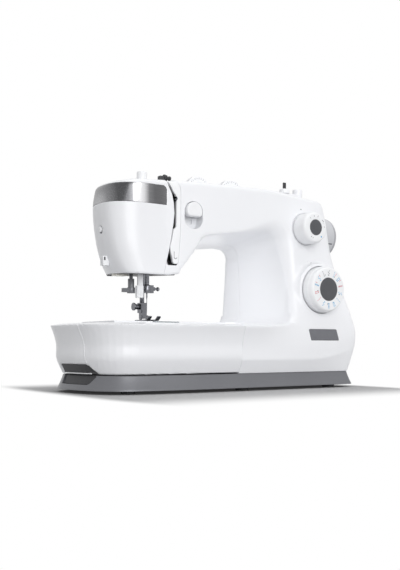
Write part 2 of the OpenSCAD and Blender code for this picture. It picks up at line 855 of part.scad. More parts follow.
module flanged_pulley(x0, x1, y, z, r, bore) {
    difference() {
        union() {
            rod_x(x0, x1, y, z, r);
            rod_x(x0 - 1.2, x0, y, z, r + 2);
            rod_x(x1, x1 + 1.2, y, z, r + 2);
        }
        rod_x(x0 - 2, x1 + 2, y, z, bore);
    }
}
module drive_pulleys() {
    color("gray") {
        flanged_pulley(belt_x0, belt_x1, needle_y, shaft_z, timing_r, shaft_r);
        flanged_pulley(drive_x0, drive_x1, needle_y, shaft_z, drive_r, shaft_r);
    }
}
// Loop round two pulleys that turn about X
module belt_loop(x0, x1, a, ra, b, rb, t) {
    difference() {
        hull() {
            rod_x(x0, x1, a[0], a[1], ra + t);
            rod_x(x0, x1, b[0], b[1], rb + t);
        }
        hull() {
            rod_x(x0 - 1, x1 + 1, a[0], a[1], ra);
            rod_x(x0 - 1, x1 + 1, b[0], b[1], rb);
        }
    }
}
module timing_belt() {
    color("black") belt_loop(
        belt_x0 + clear, belt_x1 - clear,
        [needle_y, shaft_z], timing_r + 0.1, [needle_y, lower_z], timing_r + 0.1, belt_t
    );
}
module drive_belt() {
    color("black") belt_loop(
        drive_x0 + clear, drive_x1 - clear,
        [needle_y, shaft_z], drive_r + 0.1, [motor_y, motor_z], motor_pulley_r + 0.1, belt_t
    );
}
module motor() {
    color("slategray") {
        difference() {
            union() {
                rod_x(motor_x0, motor_x1, motor_y, motor_z, motor_r);
                box([motor_x0 - 3, motor_y - 16, floor_z], [motor_x0 + 1, motor_y + 16, motor_z]);
                rod_x(motor_x0 - 3, motor_x0 + 1, motor_y, motor_z, 16);
                box([motor_x0 - 3, motor_y - 16, floor_z], [motor_x0 + 14, motor_y + 16, floor_z + 4]);
            }
            rod_x(motor_x0 - 4, motor_x0 + 12, motor_y, motor_z, 3 + play);
            // slots for cooling air
            for (a = [0 : 45 : 315]) {
                translate([motor_x0 + 10, motor_y, motor_z]) rotate([a, 0, 0])
                    translate([0, motor_r - 3, -2]) cube([16, 6, 4]);
            }
        }
    }
}
module motor_pulley() {
    color("gray") {
        flanged_pulley(drive_x0, drive_x1, motor_y, motor_z, motor_pulley_r, 2);
        rod_x(drive_x0 - 1.2, motor_x0 + 11, motor_y, motor_z, 3);
    }
}
gear_low_r = 11.9;
gear_hook_r = 6.0;
module gear_teeth(r, h, n) {
    for (i = [0 : n - 1]) {
        rotate([0, 0, 360 * i / n]) translate([r - 1.2, -0.5, 0]) cube([1.6, 1, h]);
    }
}
module lower_shaft() {
    color("silver") {
        rod_x(-114, 133, needle_y, lower_z, shaft_r);
        rod_x(needle_x - 4, needle_x + 4, needle_y, lower_z, gear_low_r);
        translate([needle_x - 4, needle_y, lower_z]) rotate([0, 90, 0]) gear_teeth(gear_low_r, 8, 24);
    }
    color("gray") flanged_pulley(belt_x0, belt_x1, needle_y, lower_z, timing_r, shaft_r);
}

// ---------- hook, bobbin and feed ----------

hook_z0 = 60;
hook_z1 = 78 + bed_dz;
case_r = 14.8;
bobbin_r = 10.3;
module rotary_hook() {
    color("silver") {
        difference() {
            union() {
                rod_z(hook_z0, hook_z1, needle_x, hook_y, hook_r);
                rod_z(28, hook_z0 + 1, needle_x, hook_y, 4);
                rod_z(42, 50, needle_x, hook_y, gear_hook_r);
                translate([needle_x, hook_y, 42]) gear_teeth(gear_hook_r, 8, 12);
            }
            rod_z(hook_z0 + 2, far, needle_x, hook_y, case_r + 0.4);
            // window that forms the hook's point
            translate([needle_x, hook_y, hook_z0 + 8]) rotate([0, 0, 200]) cube([30, 12, 20]);
        }
    }
}
module bobbin_case() {
    color("dimgray") difference() {
        rod_z(hook_z0 + 2.4, 79.5 + bed_dz, needle_x, hook_y, case_r);
        rod_z(hook_z0 + 4.4, far, needle_x, hook_y, bobbin_r + 0.7);
    }
    color("dimgray") rod_z(hook_z0 + 4, 72, needle_x, hook_y, 2.8);
}
module bobbin() {
    color([0.85, 0.9, 0.95, 0.6]) translate([needle_x, hook_y, hook_z0 + 4.8]) difference() {
        rotate_extrude() polygon([
            [2.8 + play, 0], [bobbin_r, 0], [bobbin_r, 1], [4.2, 1.6],
            [4.2, 9.9], [bobbin_r, 10.5], [bobbin_r, 11.5], [2.8 + play, 11.5]
        ]);
        for (a = [0 : 60 : 300]) {
            rotate([0, 0, a]) translate([7, 0, 9]) cylinder(r = 1.3, h = 5);
        }
    }
}
tooth_top = bed_z + 0.6;
teeth = 14;
tooth_pitch = 1.5;
feed_z0 = bed_z - 8;
feed_peg_r = 1.5;
module feed_dog() {
    back = needle_y + 16;
    foot_y = needle_y + 7;
    color("silver") {
        for (s = [-1, 1]) {
            x = needle_x + s * rail_dx;
            box([x - rail_w / 2, needle_y - 6, bed_z - 3.4], [x + rail_w / 2, back, tooth_top - 0.8]);
            for (k = [0 : teeth - 1]) {
                translate([x - rail_w / 2, needle_y - 5.5 + tooth_pitch * k, 0])
                    rotate([90, 0, 90]) linear_extrude(rail_w)
                    polygon([[0, tooth_top - 1], [1.3, tooth_top - 1], [1.1, tooth_top]]);
            }
            box([x - rail_w / 2, foot_y, feed_z0], [x + rail_w / 2, back, bed_z - 3]);
            rod_z(feed_z0 - 9, feed_z0 + 1, x, needle_y + 12, feed_peg_r);
        }
        box(
            [needle_x - rail_dx - 2, foot_y, feed_z0],
            [needle_x + rail_dx + 2, back, feed_z0 + 3]
        );
    }
}
module feed_bar() {
    color("darkgray") difference() {
        box([needle_x - 11, needle_y + 7, 60.5], [needle_x + 11, needle_y + 18, feed_z0 - 3]);
        rod_y(0, 40, needle_x, feed_rod_z, 3 + play);
        for (s = [-1, 1]) {
            rod_z(feed_z0 - 13, far, needle_x + s * rail_dx, needle_y + 12, feed_peg_r + play);
        }
    }
}

// ---------- needle bar ----------

strip_y0 = needle_y + 4.4;
strip_y1 = needle_y + 7.4;
bar_top = 254;
clamp_z0 = 124;
clamp_z1 = 134;
needle_top = clamp_z0 + 4;
module needle_bar_frame() {
    color("gray") difference() {
        union() {
            box([needle_x - 5, strip_y0, 152], [needle_x + 5, strip_y1, 250]);
            box([pivot_x - 5, strip_y0, pivot_z - 6], [needle_x, strip_y1, pivot_z + 6]);
            for (z = [152, 214]) {
                rod_z(z, z + 8, needle_x, needle_y, bar_r + 3);
                box([needle_x - 4, needle_y, z], [needle_x + 4, strip_y1, z + 8]);
            }
        }
        rod_z(140, 230, needle_x, needle_y, bar_r + play);
        rod_y(0, 20, pivot_x, pivot_z, 3 + play);
        rod_z(222, 260, needle_x, needle_y, bar_r + 0.6);
    }
}
module needle_bar() {
    color("silver") {
        rod_z(clamp_z0 + 2, bar_top, needle_x, needle_y, bar_r);
        box([needle_x - 5, needle_y - 6, stud_z - 4], [needle_x + 5.6, strip_y0 - clear, stud_z + 4]);
        rod_x(needle_x + 5, lever_x0 - 0.6, needle_y, stud_z, 2.8);
    }
}
module needle_clamp() {
    color("silver") difference() {
        union() {
            rod_z(clamp_z0, clamp_z1, needle_x, needle_y, 5);
            box([needle_x, needle_y - 4, clamp_z0], [needle_x + 8, needle_y + 2, clamp_z1]);
        }
        rod_z(clamp_z0 + 2, clamp_z1 + 1, needle_x, needle_y, bar_r);
        rod_z(0, far, needle_x, needle_y, 1);
        rod_x(needle_x + 2, needle_x + 20, needle_y - 1, clamp_z0 + 5.5, 1.5 + play);
    }
}
module clamp_screw() {
    color("silver") {
        rod_x(needle_x + bar_r + 0.3, needle_x + 9, needle_y - 1, clamp_z0 + 5.5, 1.5);
        rod_x(needle_x + 8.5, needle_x + 11, needle_y - 1, clamp_z0 + 5.5, 2.4);
        rod_x(needle_x + 11, needle_x + 14, needle_y - 1, clamp_z0 + 5.5, 1.6);
        translate([needle_x + 15.5, needle_y - 1, clamp_z0 + 5.5]) rotate([0, 90, 0])
            rotate_extrude() polygon([[0, -1.6], [2.2, -1.2], [2.8, 0], [2.2, 1.6], [0, 2.2]]);
    }
}
module needle() {
    color("silver") translate([needle_x, needle_y, 0]) rotate_extrude($fn = 32) polygon([
        [0, needle_tip_z], [0.45, needle_tip_z + 5], [0.45, needle_top - 12],
        [1, needle_top - 9], [1, clamp_z0 + 2], [0, clamp_z0 + 2]
    ]);
}

// ---------- presser bar ----------

holder_z = bed_z + 9;
lift_angle = 60;
cam_r = 6.5;
cam_off = foot_lift / sin(lift_angle);
cam_tab_z = lifter_z + cam_r + 0.8;
module presser_bar() {
    color("silver") {
        rod_z(holder_z + 8, 233, needle_x, presser_y, press_r);
        box(
            [needle_x - 5.6, presser_y - 3.8, cam_tab_z],
            [needle_x + 5.6, presser_y + 7, cam_tab_z + 9.7]
        );
        box(
            [needle_x - 1.5, presser_y + 6, cam_tab_z],
            [lifter_x - 1, presser_y + 14, cam_tab_z + 4.7]
        );
    }
}
spring_z0 = cam_tab_z + 10;
spring_z1 = 225.7;
coils = 9;
module presser_spring() {
    pitch = (spring_z1 - spring_z0) / coils;
    color("silver") translate([needle_x, presser_y, spring_z0]) rotate_extrude($fn = 32) polygon(concat(
        [[press_r + 0.3, 0]],
        [
            for (i = [0 : coils - 1], k = [0, 0.5])
                [press_r + (k == 0 ? 0.7 : 1.3), (i + k) * pitch]
        ],
        [[press_r + 0.7, coils * pitch], [press_r + 0.3, coils * pitch]]
    ));
}
pin_foot_z = bed_z + 7;
foot_pin_y = presser_y - 4.5;
module foot_holder() {
    color("silver") difference() {
        union() {
            box(
                [needle_x - 4.5, presser_y - 5, holder_z + 3],
                [needle_x + 4.5, presser_y + 4, holder_z + 16]
            );
            box(
                [needle_x - 3.4, foot_pin_y - 2, pin_foot_z - 2.4],
                [needle_x + 3.4, presser_y + 2, holder_z + 6]
            );
        }
        rod_z(holder_z + 8, far, needle_x, presser_y, press_r);
        rod_x(needle_x - 10, needle_x + 10, foot_pin_y, pin_foot_z, 1 + play);
        rod_x(needle_x - 20, needle_x - press_r + 1, presser_y, holder_z + 11, 1.6 + play);
    }
}
module foot_screw() {
    color("silver") {
        rod_x(needle_x - 8, needle_x - press_r - 0.2, presser_y, holder_z + 11, 1.6);
        rod_x(needle_x - 11.5, needle_x - 5, presser_y, holder_z + 11, 3.6);
        rod_x(needle_x - 13, needle_x - 11.5, presser_y, holder_z + 11, 5);
    }
}
sole_z = tooth_top + 0.8;
module presser_foot() {
    color("silver") difference() {
        union() {
            box([needle_x - 9, presser_y - 26, sole_z], [needle_x + 9, presser_y + 3, sole_z + 1.6]);
            for (s = [-1, 1]) {
                yz(needle_x + s * 6.5 - 2.5, needle_x + s * 6.5 + 2.5, [
                    [presser_y - 32, sole_z + 4.6], [presser_y - 26, sole_z],
                    [presser_y - 25, sole_z + 1.6], [presser_y - 31, sole_z + 6]
                ]);
                // ears that hold the pin
                box(
                    [needle_x + s * 4.6 - 0.9, foot_pin_y - 2, sole_z],
                    [needle_x + s * 4.6 + 0.9, foot_pin_y + 2, pin_foot_z + 2]
                );
            }
            rod_x(needle_x - 5, needle_x + 5, foot_pin_y, pin_foot_z, 1);
        }
        // slot for the needle, open to the front
        box([needle_x - 4.7, needle_y - 1.7, 0], [needle_x + 4.7, needle_y + 1.7, bed_z + 6]);
        box([needle_x - 1.5, presser_y - 40, 0], [needle_x + 1.5, needle_y, bed_z + 6]);
    }
}
module presser_lifter() {
    color("dimgray") {
        rod_y(presser_y + 7.5, 76, lifter_x, lifter_z, 3);
        rod_y(presser_y + 7.5, presser_y + 13.5, lifter_x - cam_off, lifter_z, cam_r);
        xz(74, 79, [
            [lifter_x - 4, lifter_z + 5], [lifter_x - 32, lifter_z - 9], [lifter_x - 30, lifter_z - 15],
            [lifter_x - 23, lifter_z - 15], [lifter_x + 5, lifter_z - 2], [lifter_x + 3, lifter_z + 5]
        ]);
    }
}
module take_up_lever() {
    color("silver") difference() {
        union() {
            rod_x(lever_x0, lever_x1, lever_y, lever_z, 4);
            yz(lever_x0, lever_x1, [
                [lever_y, lever_z - 4], [lever_y, lever_z + 4], [lever_y - 52, lever_z + 8],
                [lever_y - 61, lever_z + 7], [lever_y - 62, lever_z + 4], [lever_y - 59, lever_z + 1],
                [lever_y - 52, lever_z + 2]
            ]);
        }
        rod_x(lever_x0 - 1, lever_x1 + 1, lever_y, lever_z, 1.5 + play);
        rod_x(lever_x0 - 1, lever_x1 + 1, lever_y - 58.5, lever_z + 4, 1.3);
    }
}
module needle_threader() {
    color("gainsboro") {
        rod_z(128, 200, threader_x, threader_y, 2.2);
        rod_z(130, 141, threader_x, threader_y, 4);
        rod_z(123, 130, threader_x, threader_y, 5);
        box([threader_x - 12, threader_y - 3, 124], [threader_x, threader_y + 3, 129]);
        rod_z(197, 202, threader_x, threader_y, 4);
    }
}
module buttonhole_lever() {
    color("white") {
        box([-115, -6, 117], [-108, -3, 190]);
        box([-117, -7, 117], [-108, -2, 132]);
    }
}
module lamp() {
    color("white") {
        box([lamp_x - 8, lamp_y - 7, head_z], [lamp_x + 8, lamp_y + 7, head_z + 4]);
        for (s = [-1, 1]) {
            translate([lamp_x + s * 4, lamp_y, head_z + 2]) sphere(r = 2.5);
        }
    }
}

// ---------- controls ----------

module knurled_wheel(y0, y1, x, z, r) {
    difference() {
        rod_y(y0, y1, x, z, r);
        for (a = [0 : 12 : 348]) {
            translate([x, 0, z]) rotate([0, a, 0]) translate([r + 0.4, y0 - 1, 0])
                rotate([-90, 0, 0]) cylinder(r = 0.9, h = (y1 - y0) / 2, $fn = 16);
        }
    }
}
module tension_dial() {
    color("white") {
        knurled_wheel(thumb_y0, thumb_y1, tension_x, thumb_z, thumb_r);
        rod_y(thumb_y0 - 8, thumb_y1 + 2, tension_x, thumb_z, thumb_shaft_r);
    }
}
module width_dial() {
    color("white") {
        knurled_wheel(thumb_y0, thumb_y1, width_x, thumb_z + 1.5, thumb_r);
        rod_y(thumb_y0 - 8, thumb_y1 + 2, width_x, thumb_z + 1.5, thumb_shaft_r);
    }
}
module pressure_dial() {
    color("white") {
        rod_z(arm_top + 0.4, arm_top + 16, pressure_x, presser_y, 7);
        rod_z(240, arm_top + 2, pressure_x, presser_y, 3.5);
    }
}
module length_dial() {
    color("white") {
        rod_y(length_face, length_floor - dial_lift, length_x, length_z, length_r);
        rod_y(length_floor - 2, length_floor + dial_shaft_l, length_x, length_z, dial_shaft_r);
    }
    color("dimgray") {
        rod_y(length_face - dial_cap_t, length_face, length_x, length_z, length_r * dial_cap_share);
    }
}
module pattern_dial() {
    color("white") {
        rod_y(pattern_face, pattern_face + 8, pattern_x, pattern_z, pattern_r);
        rod_y(
            pattern_face + 8, pattern_floor - dial_lift,
            pattern_x, pattern_z, pattern_r + pattern_step
        );
        rod_y(pattern_floor - 2, pattern_floor + dial_shaft_l, pattern_x, pattern_z, dial_shaft_r);
    }
    color("dimgray") {
        rod_y(pattern_face - dial_cap_t, pattern_face, pattern_x, pattern_z, pattern_r * dial_cap_share);
    }
}
module reverse_lever() {
    color("whitesmoke") {
        xz(-37, -27, concat(
            arc([reverse_x, reverse_z + 5], paddle_r, 0, 180, 12),
            [[reverse_x - paddle_r, reverse_z + 0.5], [reverse_x + paddle_r, reverse_z + 0.5]]
        ));
        box([reverse_x - 3, -29, reverse_z + 2], [reverse_x + 3, reverse_floor + 5, reverse_z + 9]);
        xz(reverse_floor + 1.4, reverse_floor + 5, [
            [reverse_x - 5, reverse_z + 1], [reverse_pivot_x, reverse_z - 5],
            [reverse_pivot_x, reverse_z + 5], [reverse_x - 5, reverse_z + 10]
        ]);
        rod_y(reverse_floor + 0.4, reverse_floor + 5, reverse_pivot_x, reverse_z, 5);
        rod_y(-39.5, reverse_floor + 1, reverse_pivot_x, reverse_z, 2);
    }
}
wheel_x0 = 178;
module handwheel() {
    color("gainsboro") translate([0, needle_y, shaft_z]) rotate([0, 90, 0])
        rotate_extrude($fn = 96) polygon([
        [shaft_r, hub_x], [hub_r, hub_x], [hub_r, wheel_x0 + 4], [wheel_r - 5, wheel_x0 + 3],
        [wheel_r - 4, wheel_x0], [wheel_r - 1, wheel_x0], [wheel_r, wheel_x0 + 2], [wheel_r, wheel_x - 7],
        [wheel_r - 1.5, wheel_x - 3], [wheel_r - 5, wheel_x], [14, wheel_x], [12, wheel_x - 3],
        [shaft_r, wheel_x - 3]
    ]);
}
winder_z = arm_top + 11.5;
module winder_spindle() {
    color("white") difference() {
        rod_z(arm_top + 5.5, winder_z, winder_x, winder_y, 7);
        rod_z(arm_top + 8, far, winder_x, winder_y, 5);
    }
    color("gray") {
        rod_z(238, winder_z - 4, winder_x, winder_y, 2.5);
        for (s = [-1, 1]) {
            box(
                [winder_x + s * 1.4 - 0.9, winder_y - 1.2, winder_z - 5],
                [winder_x + s * 1.4 + 0.9, winder_y + 1.2, winder_z + 9.5]
            );
        }
    }
}
guide_x = -73;
module top_thread_guide() {
    color([0.15, 0.15, 0.16]) {
        box([guide_x - 8, -3, arm_top], [guide_x - 1, 4, arm_top + 9]);
        rod_x(guide_x - 7, guide_x + 8, 0, arm_top + 7, 1.6);
        rod_x(guide_x - 1, guide_x + 1, 0, arm_top + 7, 4.5);
        rod_x(guide_x + 2, guide_x + 3, 0, arm_top + 7, 4);
        rod_x(guide_x + 6, guide_x + 9, 0, arm_top + 7, 3);
    }
}
module spool_pin() {
    color("white") {
        rod_x(-26, 77.5, pin_y, pin_z, 2.5);
        rod_x(70, 74, pin_y, pin_z, 7);
        rod_x(-24, -20, pin_y, pin_z, 12);
    }
}
module carry_handle() {
    ear_t = 6.2;
    low = handle_z - handle_drop;
    color("whitesmoke") {
        for (x = [handle_x0 - 2.6, handle_x1 - 3.6]) {
            box([x, handle_y - 3, low], [x + ear_t, handle_y + 4, handle_z]);
            rod_x(x, x + ear_t, handle_y, handle_z, ear_r);
        }
        box([handle_x0 - 2.6, handle_y - 3, low], [handle_x1 + 2.6, handle_y + 4, low + handle_grip]);
    }
    color("silver") for (x = [handle_x0 - 6.5, handle_x1 - 7.5]) {
        rod_x(x, x + 14, handle_y, handle_z, hinge_pin_r);
    }
}
module circuit_board() {
    color("darkgreen") box([96, 56, 84], [134, 57.6, 188]);
    color("dimgray") {
        box([100, 57.6, 100], [116, 63, 122]);
        box([108, 57.6, 140], [128, 61, 160]);
        rod_y(57.6, 66, 126, 112, 5);
    }
}
module power_inlet() {
    color([0.15, 0.15, 0.16]) {
        difference() {
            box(
                [side_x - 22, switch_y0 + 0.1, inlet_z0 + 0.1],
                [side_x + 0.6, inlet_y1 - 0.1, inlet_z1 - 0.1]
            );
            box([side_x - 16, inlet_y0 + 3, inlet_z0 + 4], [side_x + 2, inlet_y1 - 3, inlet_z1 - 4]);
            box(
                [side_x - 18, switch_y0 + 2.6, inlet_z0 + 2],
                [side_x + 2, switch_y1 - 2.6, inlet_z1 - 2]
            );
            rod_y(switch_y0 + 1, switch_y1 - 1, switch_x, switch_z, 1.5 + play);
        }
        for (s = [-1, 1]) {
            rod_x(side_x - 17, side_x - 4, (inlet_y0 + inlet_y1) / 2 + s * 4, switch_z, 1.2);
        }
    }
}
module power_switch() {
    color([0.2, 0.2, 0.21]) {
        translate([switch_x, 0, switch_z]) rotate([0, -8, 0]) xz(switch_y0 + 3, switch_y1 - 3, [
            [-4, -6], [7.4, -8.2], [5.8, 0], [7.4, 8.2], [-4, 6]
        ]);
        rod_y(switch_y0 + 1.2, switch_y1 - 1.2, switch_x, switch_z, 1.5);
    }
}
module screws() {
    color("silver") {
        for (i = [0 : len(rear_screws) - 1]) {
            p = rear_screws[i];
            head_y = rear_screw_y[i] - screw_sink;
            rod_y(frame_y + frame_t + 1.2, head_y, p[0], p[1], screw_r);
            rod_y(head_y, head_y + 2.5, p[0], p[1], screw_head_r);
        }
        for (p = plate_screws) {
            rod_z(bed_z - 6, bed_z - 1, p[0], p[1], screw_r - play);
            rod_z(bed_z - 1.3, bed_z + 0.2, p[0], p[1], 3.1);
        }
        for (p = frame_feet) {
            rod_z(foot_h + 1, floor_z + 9, p[0], p[1], 2);
            rod_z(foot_h + 0.2, foot_h + 1.4, p[0], p[1], 3.9);
        }
        rod_x(-154, -143, face_screw_y, face_screw_z, screw_r);
        rod_x(-156, -154, face_screw_y, face_screw_z, 3.4);
    }
}

rubber_feet();
base_plate();
front_cover();
rear_cover();
face_plate();
face_band();
head_base();
thread_channel();
free_arm_cover();
needle_plate();
bobbin_cover();
accessory_tray();
tray_lid();
tray_grip();
name_plate();
main_frame();
shaft_bushes();
main_shaft();
connecting_rod();
drive_pulleys();
timing_belt();
drive_belt();
motor();
motor_pulley();
lower_shaft();
rotary_hook();
bobbin_case();
bobbin();
feed_dog();
feed_bar();
needle_bar_frame();
needle_bar();
needle_clamp();
clamp_screw();
needle();
presser_bar();
presser_spring();
foot_holder();
foot_screw();
presser_foot();
presser_lifter();
take_up_lever();
needle_threader();
buttonhole_lever();
lamp();
tension_dial();
width_dial();
pressure_dial();
length_dial();
pattern_dial();
reverse_lever();
handwheel();
winder_spindle();
top_thread_guide();
spool_pin();
carry_handle();
circuit_board();
power_inlet();
power_switch();
screws();
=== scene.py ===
# %% [markdown]
# # A free-arm sewing machine in procedural pieces
# The machine was drawn as an assembly of solids first, and its moving pieces already know how they
# turn and slide. This lesson dresses that frame. Each moulded cover, dial and metal piece gets the
# shape and finish that it has on the real object, and stays on the body that carries it.

import math
import bmesh
import bpy
import numpy as np
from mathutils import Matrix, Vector

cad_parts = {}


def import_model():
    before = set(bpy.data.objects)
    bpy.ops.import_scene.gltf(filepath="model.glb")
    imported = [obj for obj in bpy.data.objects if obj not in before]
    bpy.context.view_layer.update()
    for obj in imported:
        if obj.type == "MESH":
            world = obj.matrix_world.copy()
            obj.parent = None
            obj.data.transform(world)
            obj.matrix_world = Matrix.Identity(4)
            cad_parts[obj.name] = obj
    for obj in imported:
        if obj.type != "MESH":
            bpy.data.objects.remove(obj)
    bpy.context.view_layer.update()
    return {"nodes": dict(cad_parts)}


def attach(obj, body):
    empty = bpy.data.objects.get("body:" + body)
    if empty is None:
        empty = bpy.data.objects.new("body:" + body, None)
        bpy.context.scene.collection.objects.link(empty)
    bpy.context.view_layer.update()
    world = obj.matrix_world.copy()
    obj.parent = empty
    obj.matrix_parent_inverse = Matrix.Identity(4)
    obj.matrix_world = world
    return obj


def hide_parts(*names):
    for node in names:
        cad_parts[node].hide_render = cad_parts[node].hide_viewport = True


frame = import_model()

# %% [markdown]
# ## The camera
# A product picture of a long object is often taken with a level camera and a shifted lens, so that
# upright edges stay upright. Tilting the camera would make the head lean. The lens is level here,
# and a small vertical shift puts the machine in the middle of the frame.

# %% Camera
MM = 0.001
CAMERA_AT, LOOK_ALONG = (-616.1, -870.9, 58.0), (0.5664, 0.8241, 0.0)
LENS, SENSOR_WIDTH, SHIFT_UP = 50.53, 36.0, 60 / 570
camera_data = bpy.data.cameras.new("camera")
camera_data.lens, camera_data.sensor_width = LENS, SENSOR_WIDTH
camera_data.shift_y = SHIFT_UP
camera_data.clip_start, camera_data.clip_end = 0.05, 60.0
camera = bpy.data.objects.new("camera", camera_data)
bpy.context.scene.collection.objects.link(camera)
camera.location = [c * MM for c in CAMERA_AT]
camera.rotation_euler = Vector(LOOK_ALONG).to_track_quat("-Z", "Y").to_euler()
bpy.context.scene.camera = camera
print("camera at", tuple(round(c, 3) for c in camera.location))

# %% [markdown]
# ## Shader maths as expressions
# A material often needs sums and products of masks. Wiring Math nodes by hand hides the sum, so a
# small class wraps a socket and turns `mask * 0.4 + 0.6` into the nodes for it. Colours go
# through Mix nodes, because a Math node would turn a colour grey.

# %% Sockets that can be added and multiplied
class Socket:
    """A node's output, which can be used in an expression on values."""

    def __init__(self, paint, output):
        self.paint, self.output = paint, output

    def maths(self, operation, *values):
        return self.paint.node("ShaderNodeMath", {"operation": operation}, *values)

    def __add__(self, other):
        return self.maths("ADD", self, other)

    def __sub__(self, other):
        return self.maths("SUBTRACT", self, other)

    def __mul__(self, other):
        return self.maths("MULTIPLY", self, other)

    def __radd__(self, other):
        return self.maths("ADD", other, self)

    def size(self):
        return self.maths("ABSOLUTE", self)

    def root(self):
        return self.maths("SQRT", self)

    def most(self, other):
        return self.maths("MAXIMUM", self, other)

    def step(self, low, high):
        """0 below low and 1 above high, with a smooth change between them."""
        settings = {"interpolation_type": "SMOOTHSTEP"}
        return self.paint.node("ShaderNodeMapRange", settings, self, low, high, 0.0, 1.0)


class Paint:
    """A new material, and the one method that adds a node to it."""

    def __init__(self, name):
        self.material = bpy.data.materials.new(name)
        self.material.use_nodes = True
        self.tree = self.material.node_tree
        self.tree.nodes.clear()
        self.finish = self.tree.nodes.new("ShaderNodeOutputMaterial")

    def node(self, kind, settings=None, *values, out=0, **named):
        made = self.tree.nodes.new(kind)
        for key, value in (settings or {}).items():
            if key == "stops":
                ramp = made.color_ramp
                while len(ramp.elements) < len(value):
                    ramp.elements.new(0.5)
                for element, (place, colour) in zip(ramp.elements, value):
                    element.position, element.color = place, (*colour, 1.0)
            else:
                setattr(made, key, value)
        pairs = list(enumerate(values))
        pairs += [(key.replace("_", " "), value) for key, value in named.items()]
        for key, value in pairs:
            socket = made.inputs[key]
            if isinstance(value, Socket):
                self.tree.links.new(value.output, socket)
            elif value is not None:
                socket.default_value = value
        return Socket(self, made.outputs[out])

    def mix(self, factor, a, b):
        """Colour a where factor is 0 and colour b where it is 1."""
        made = self.tree.nodes.new("ShaderNodeMix")
        made.data_type = "RGBA"
        for index, value in ((0, factor), (6, a), (7, b)):
            if isinstance(value, Socket):
                self.tree.links.new(value.output, made.inputs[index])
            else:
                made.inputs[index].default_value = (*value, 1.0) if index else value
        return Socket(self, made.outputs[2])

    def place(self, axis=None):
        """The point on the piece in metres, or one of its three numbers."""
        point = self.node("ShaderNodeTexCoord", out=3)
        if axis is None:
            return point
        return self.node("ShaderNodeSeparateXYZ", None, point, out="XYZ".index(axis))

    def noise(self, scale, detail=3.0, stretch=(1.0, 1.0, 1.0), roughness=0.55):
        """Cloudy values about 0.5, with scale waves in a metre."""
        point = self.node("ShaderNodeMapping", None, self.place(), Scale=stretch)
        return self.node("ShaderNodeTexNoise", None, point, Scale=scale, Detail=detail,
                         Roughness=roughness)

    def bump(self, height, distance, strength):
        return self.node("ShaderNodeBump", None, Strength=strength, Distance=distance,
                         Height=height)

    def surface(self, shader):
        self.tree.links.new(shader.output, self.finish.inputs["Surface"])
        return self.material

    def principled(self, colour, roughness, metallic=0.0, **named):
        if not isinstance(colour, Socket):
            colour = (*colour, 1.0)
        shader = self.node("ShaderNodeBsdfPrincipled", None, Base_Color=colour,
                           Roughness=roughness, Metallic=metallic, **named)
        return self.surface(shader)


def from_screen(red, green, blue):
    """A colour written as 0 to 255 on a screen, as the light value that a shader wants."""
    parts = [c / 255 for c in (red, green, blue)]
    return tuple(c / 12.92 if c < 0.04045 else ((c + 0.055) / 1.055) ** 2.4 for c in parts)


print("shader helpers are ready")

# %% [markdown]
# ## White moulded plastic
# The covers are injection moulded and polished. Pure gloss would look like glass, and a flat white
# like paper. Real mouldings scatter most light, have a soft sheen, and show a very faint unevenness
# where the plastic shrank, so roughness and a shallow bump vary slowly over the surface.

# %% Plastics
def moulded(name, colour, roughness, grain=0.000004, tint=0.02, coat=0.0):
    """Plastic with a slow change of tone and sheen, and a fine skin."""
    paint = Paint(name)
    slow = paint.noise(9.0, 2.0)
    fine = paint.noise(900.0, 2.0)
    low = tuple(c * (1 - tint) for c in colour)
    high = tuple(min(1.0, c * (1 + tint)) for c in colour)
    tone = paint.mix(slow, low, high)
    sheen = roughness + (slow - 0.5) * 0.08 + (fine - 0.5) * 0.03
    skin = paint.bump(fine, grain, 0.6)
    return paint.principled(tone, sheen, Normal=skin, Coat_Weight=coat, Coat_Roughness=0.12)


cover_white = moulded("cover_white", from_screen(240, 241, 244), 0.34, coat=0.12)
dial_white = moulded("dial_white", from_screen(243, 244, 246), 0.42)
# A dark plastic that is painted shade in the thread slot and the screw seat, and the blade's own
# dark.
shade_and_blade_dark = moulded("shade_and_blade_dark", from_screen(46, 46, 49), 0.5, grain=0.00001, tint=0.12)
print("plastics:", cover_white.name, dial_white.name, shade_and_blade_dark.name)

# %% [markdown]
# ## The floor and the studio
# The machine stands on a pale table in front of nothing at all. A far backdrop would need its own
# light. Here the world shows white to the camera and to mirrors, and the floor fades into it with
# distance. Near the machine the floor is grey as painted shade, reaching further in front than at
# the ends, and the lamps' soft shadow falls on it as well.

# %% Floor, world and lamps
WORLD_LIGHT = 0.52


def seen_directly(paint):
    """1 for rays from the camera, from a mirror or through clear plastic, and 0 for light."""
    camera_ray = paint.node("ShaderNodeLightPath", out=0)
    glossy_ray = paint.node("ShaderNodeLightPath", out=3)
    clear_ray = paint.node("ShaderNodeLightPath", out=6)
    return camera_ray.most(glossy_ray).most(clear_ray)


# The grey of the floor around the machine, which is painted shade.
FLOOR_REACH, SHADE_FLOOR_TONE = 6.0, (0.48, 0.48, 0.485, 1.0)
floor_mesh = bpy.data.meshes.new("floor")
corners = [(x * FLOOR_REACH, y * FLOOR_REACH, 0) for x, y in ((-1, -1), (1, -1), (1, 1), (-1, 1))]
floor_mesh.from_pydata(corners, [], [(0, 1, 2, 3)])
floor = bpy.data.objects.new("floor", floor_mesh)
bpy.context.scene.collection.objects.link(floor)

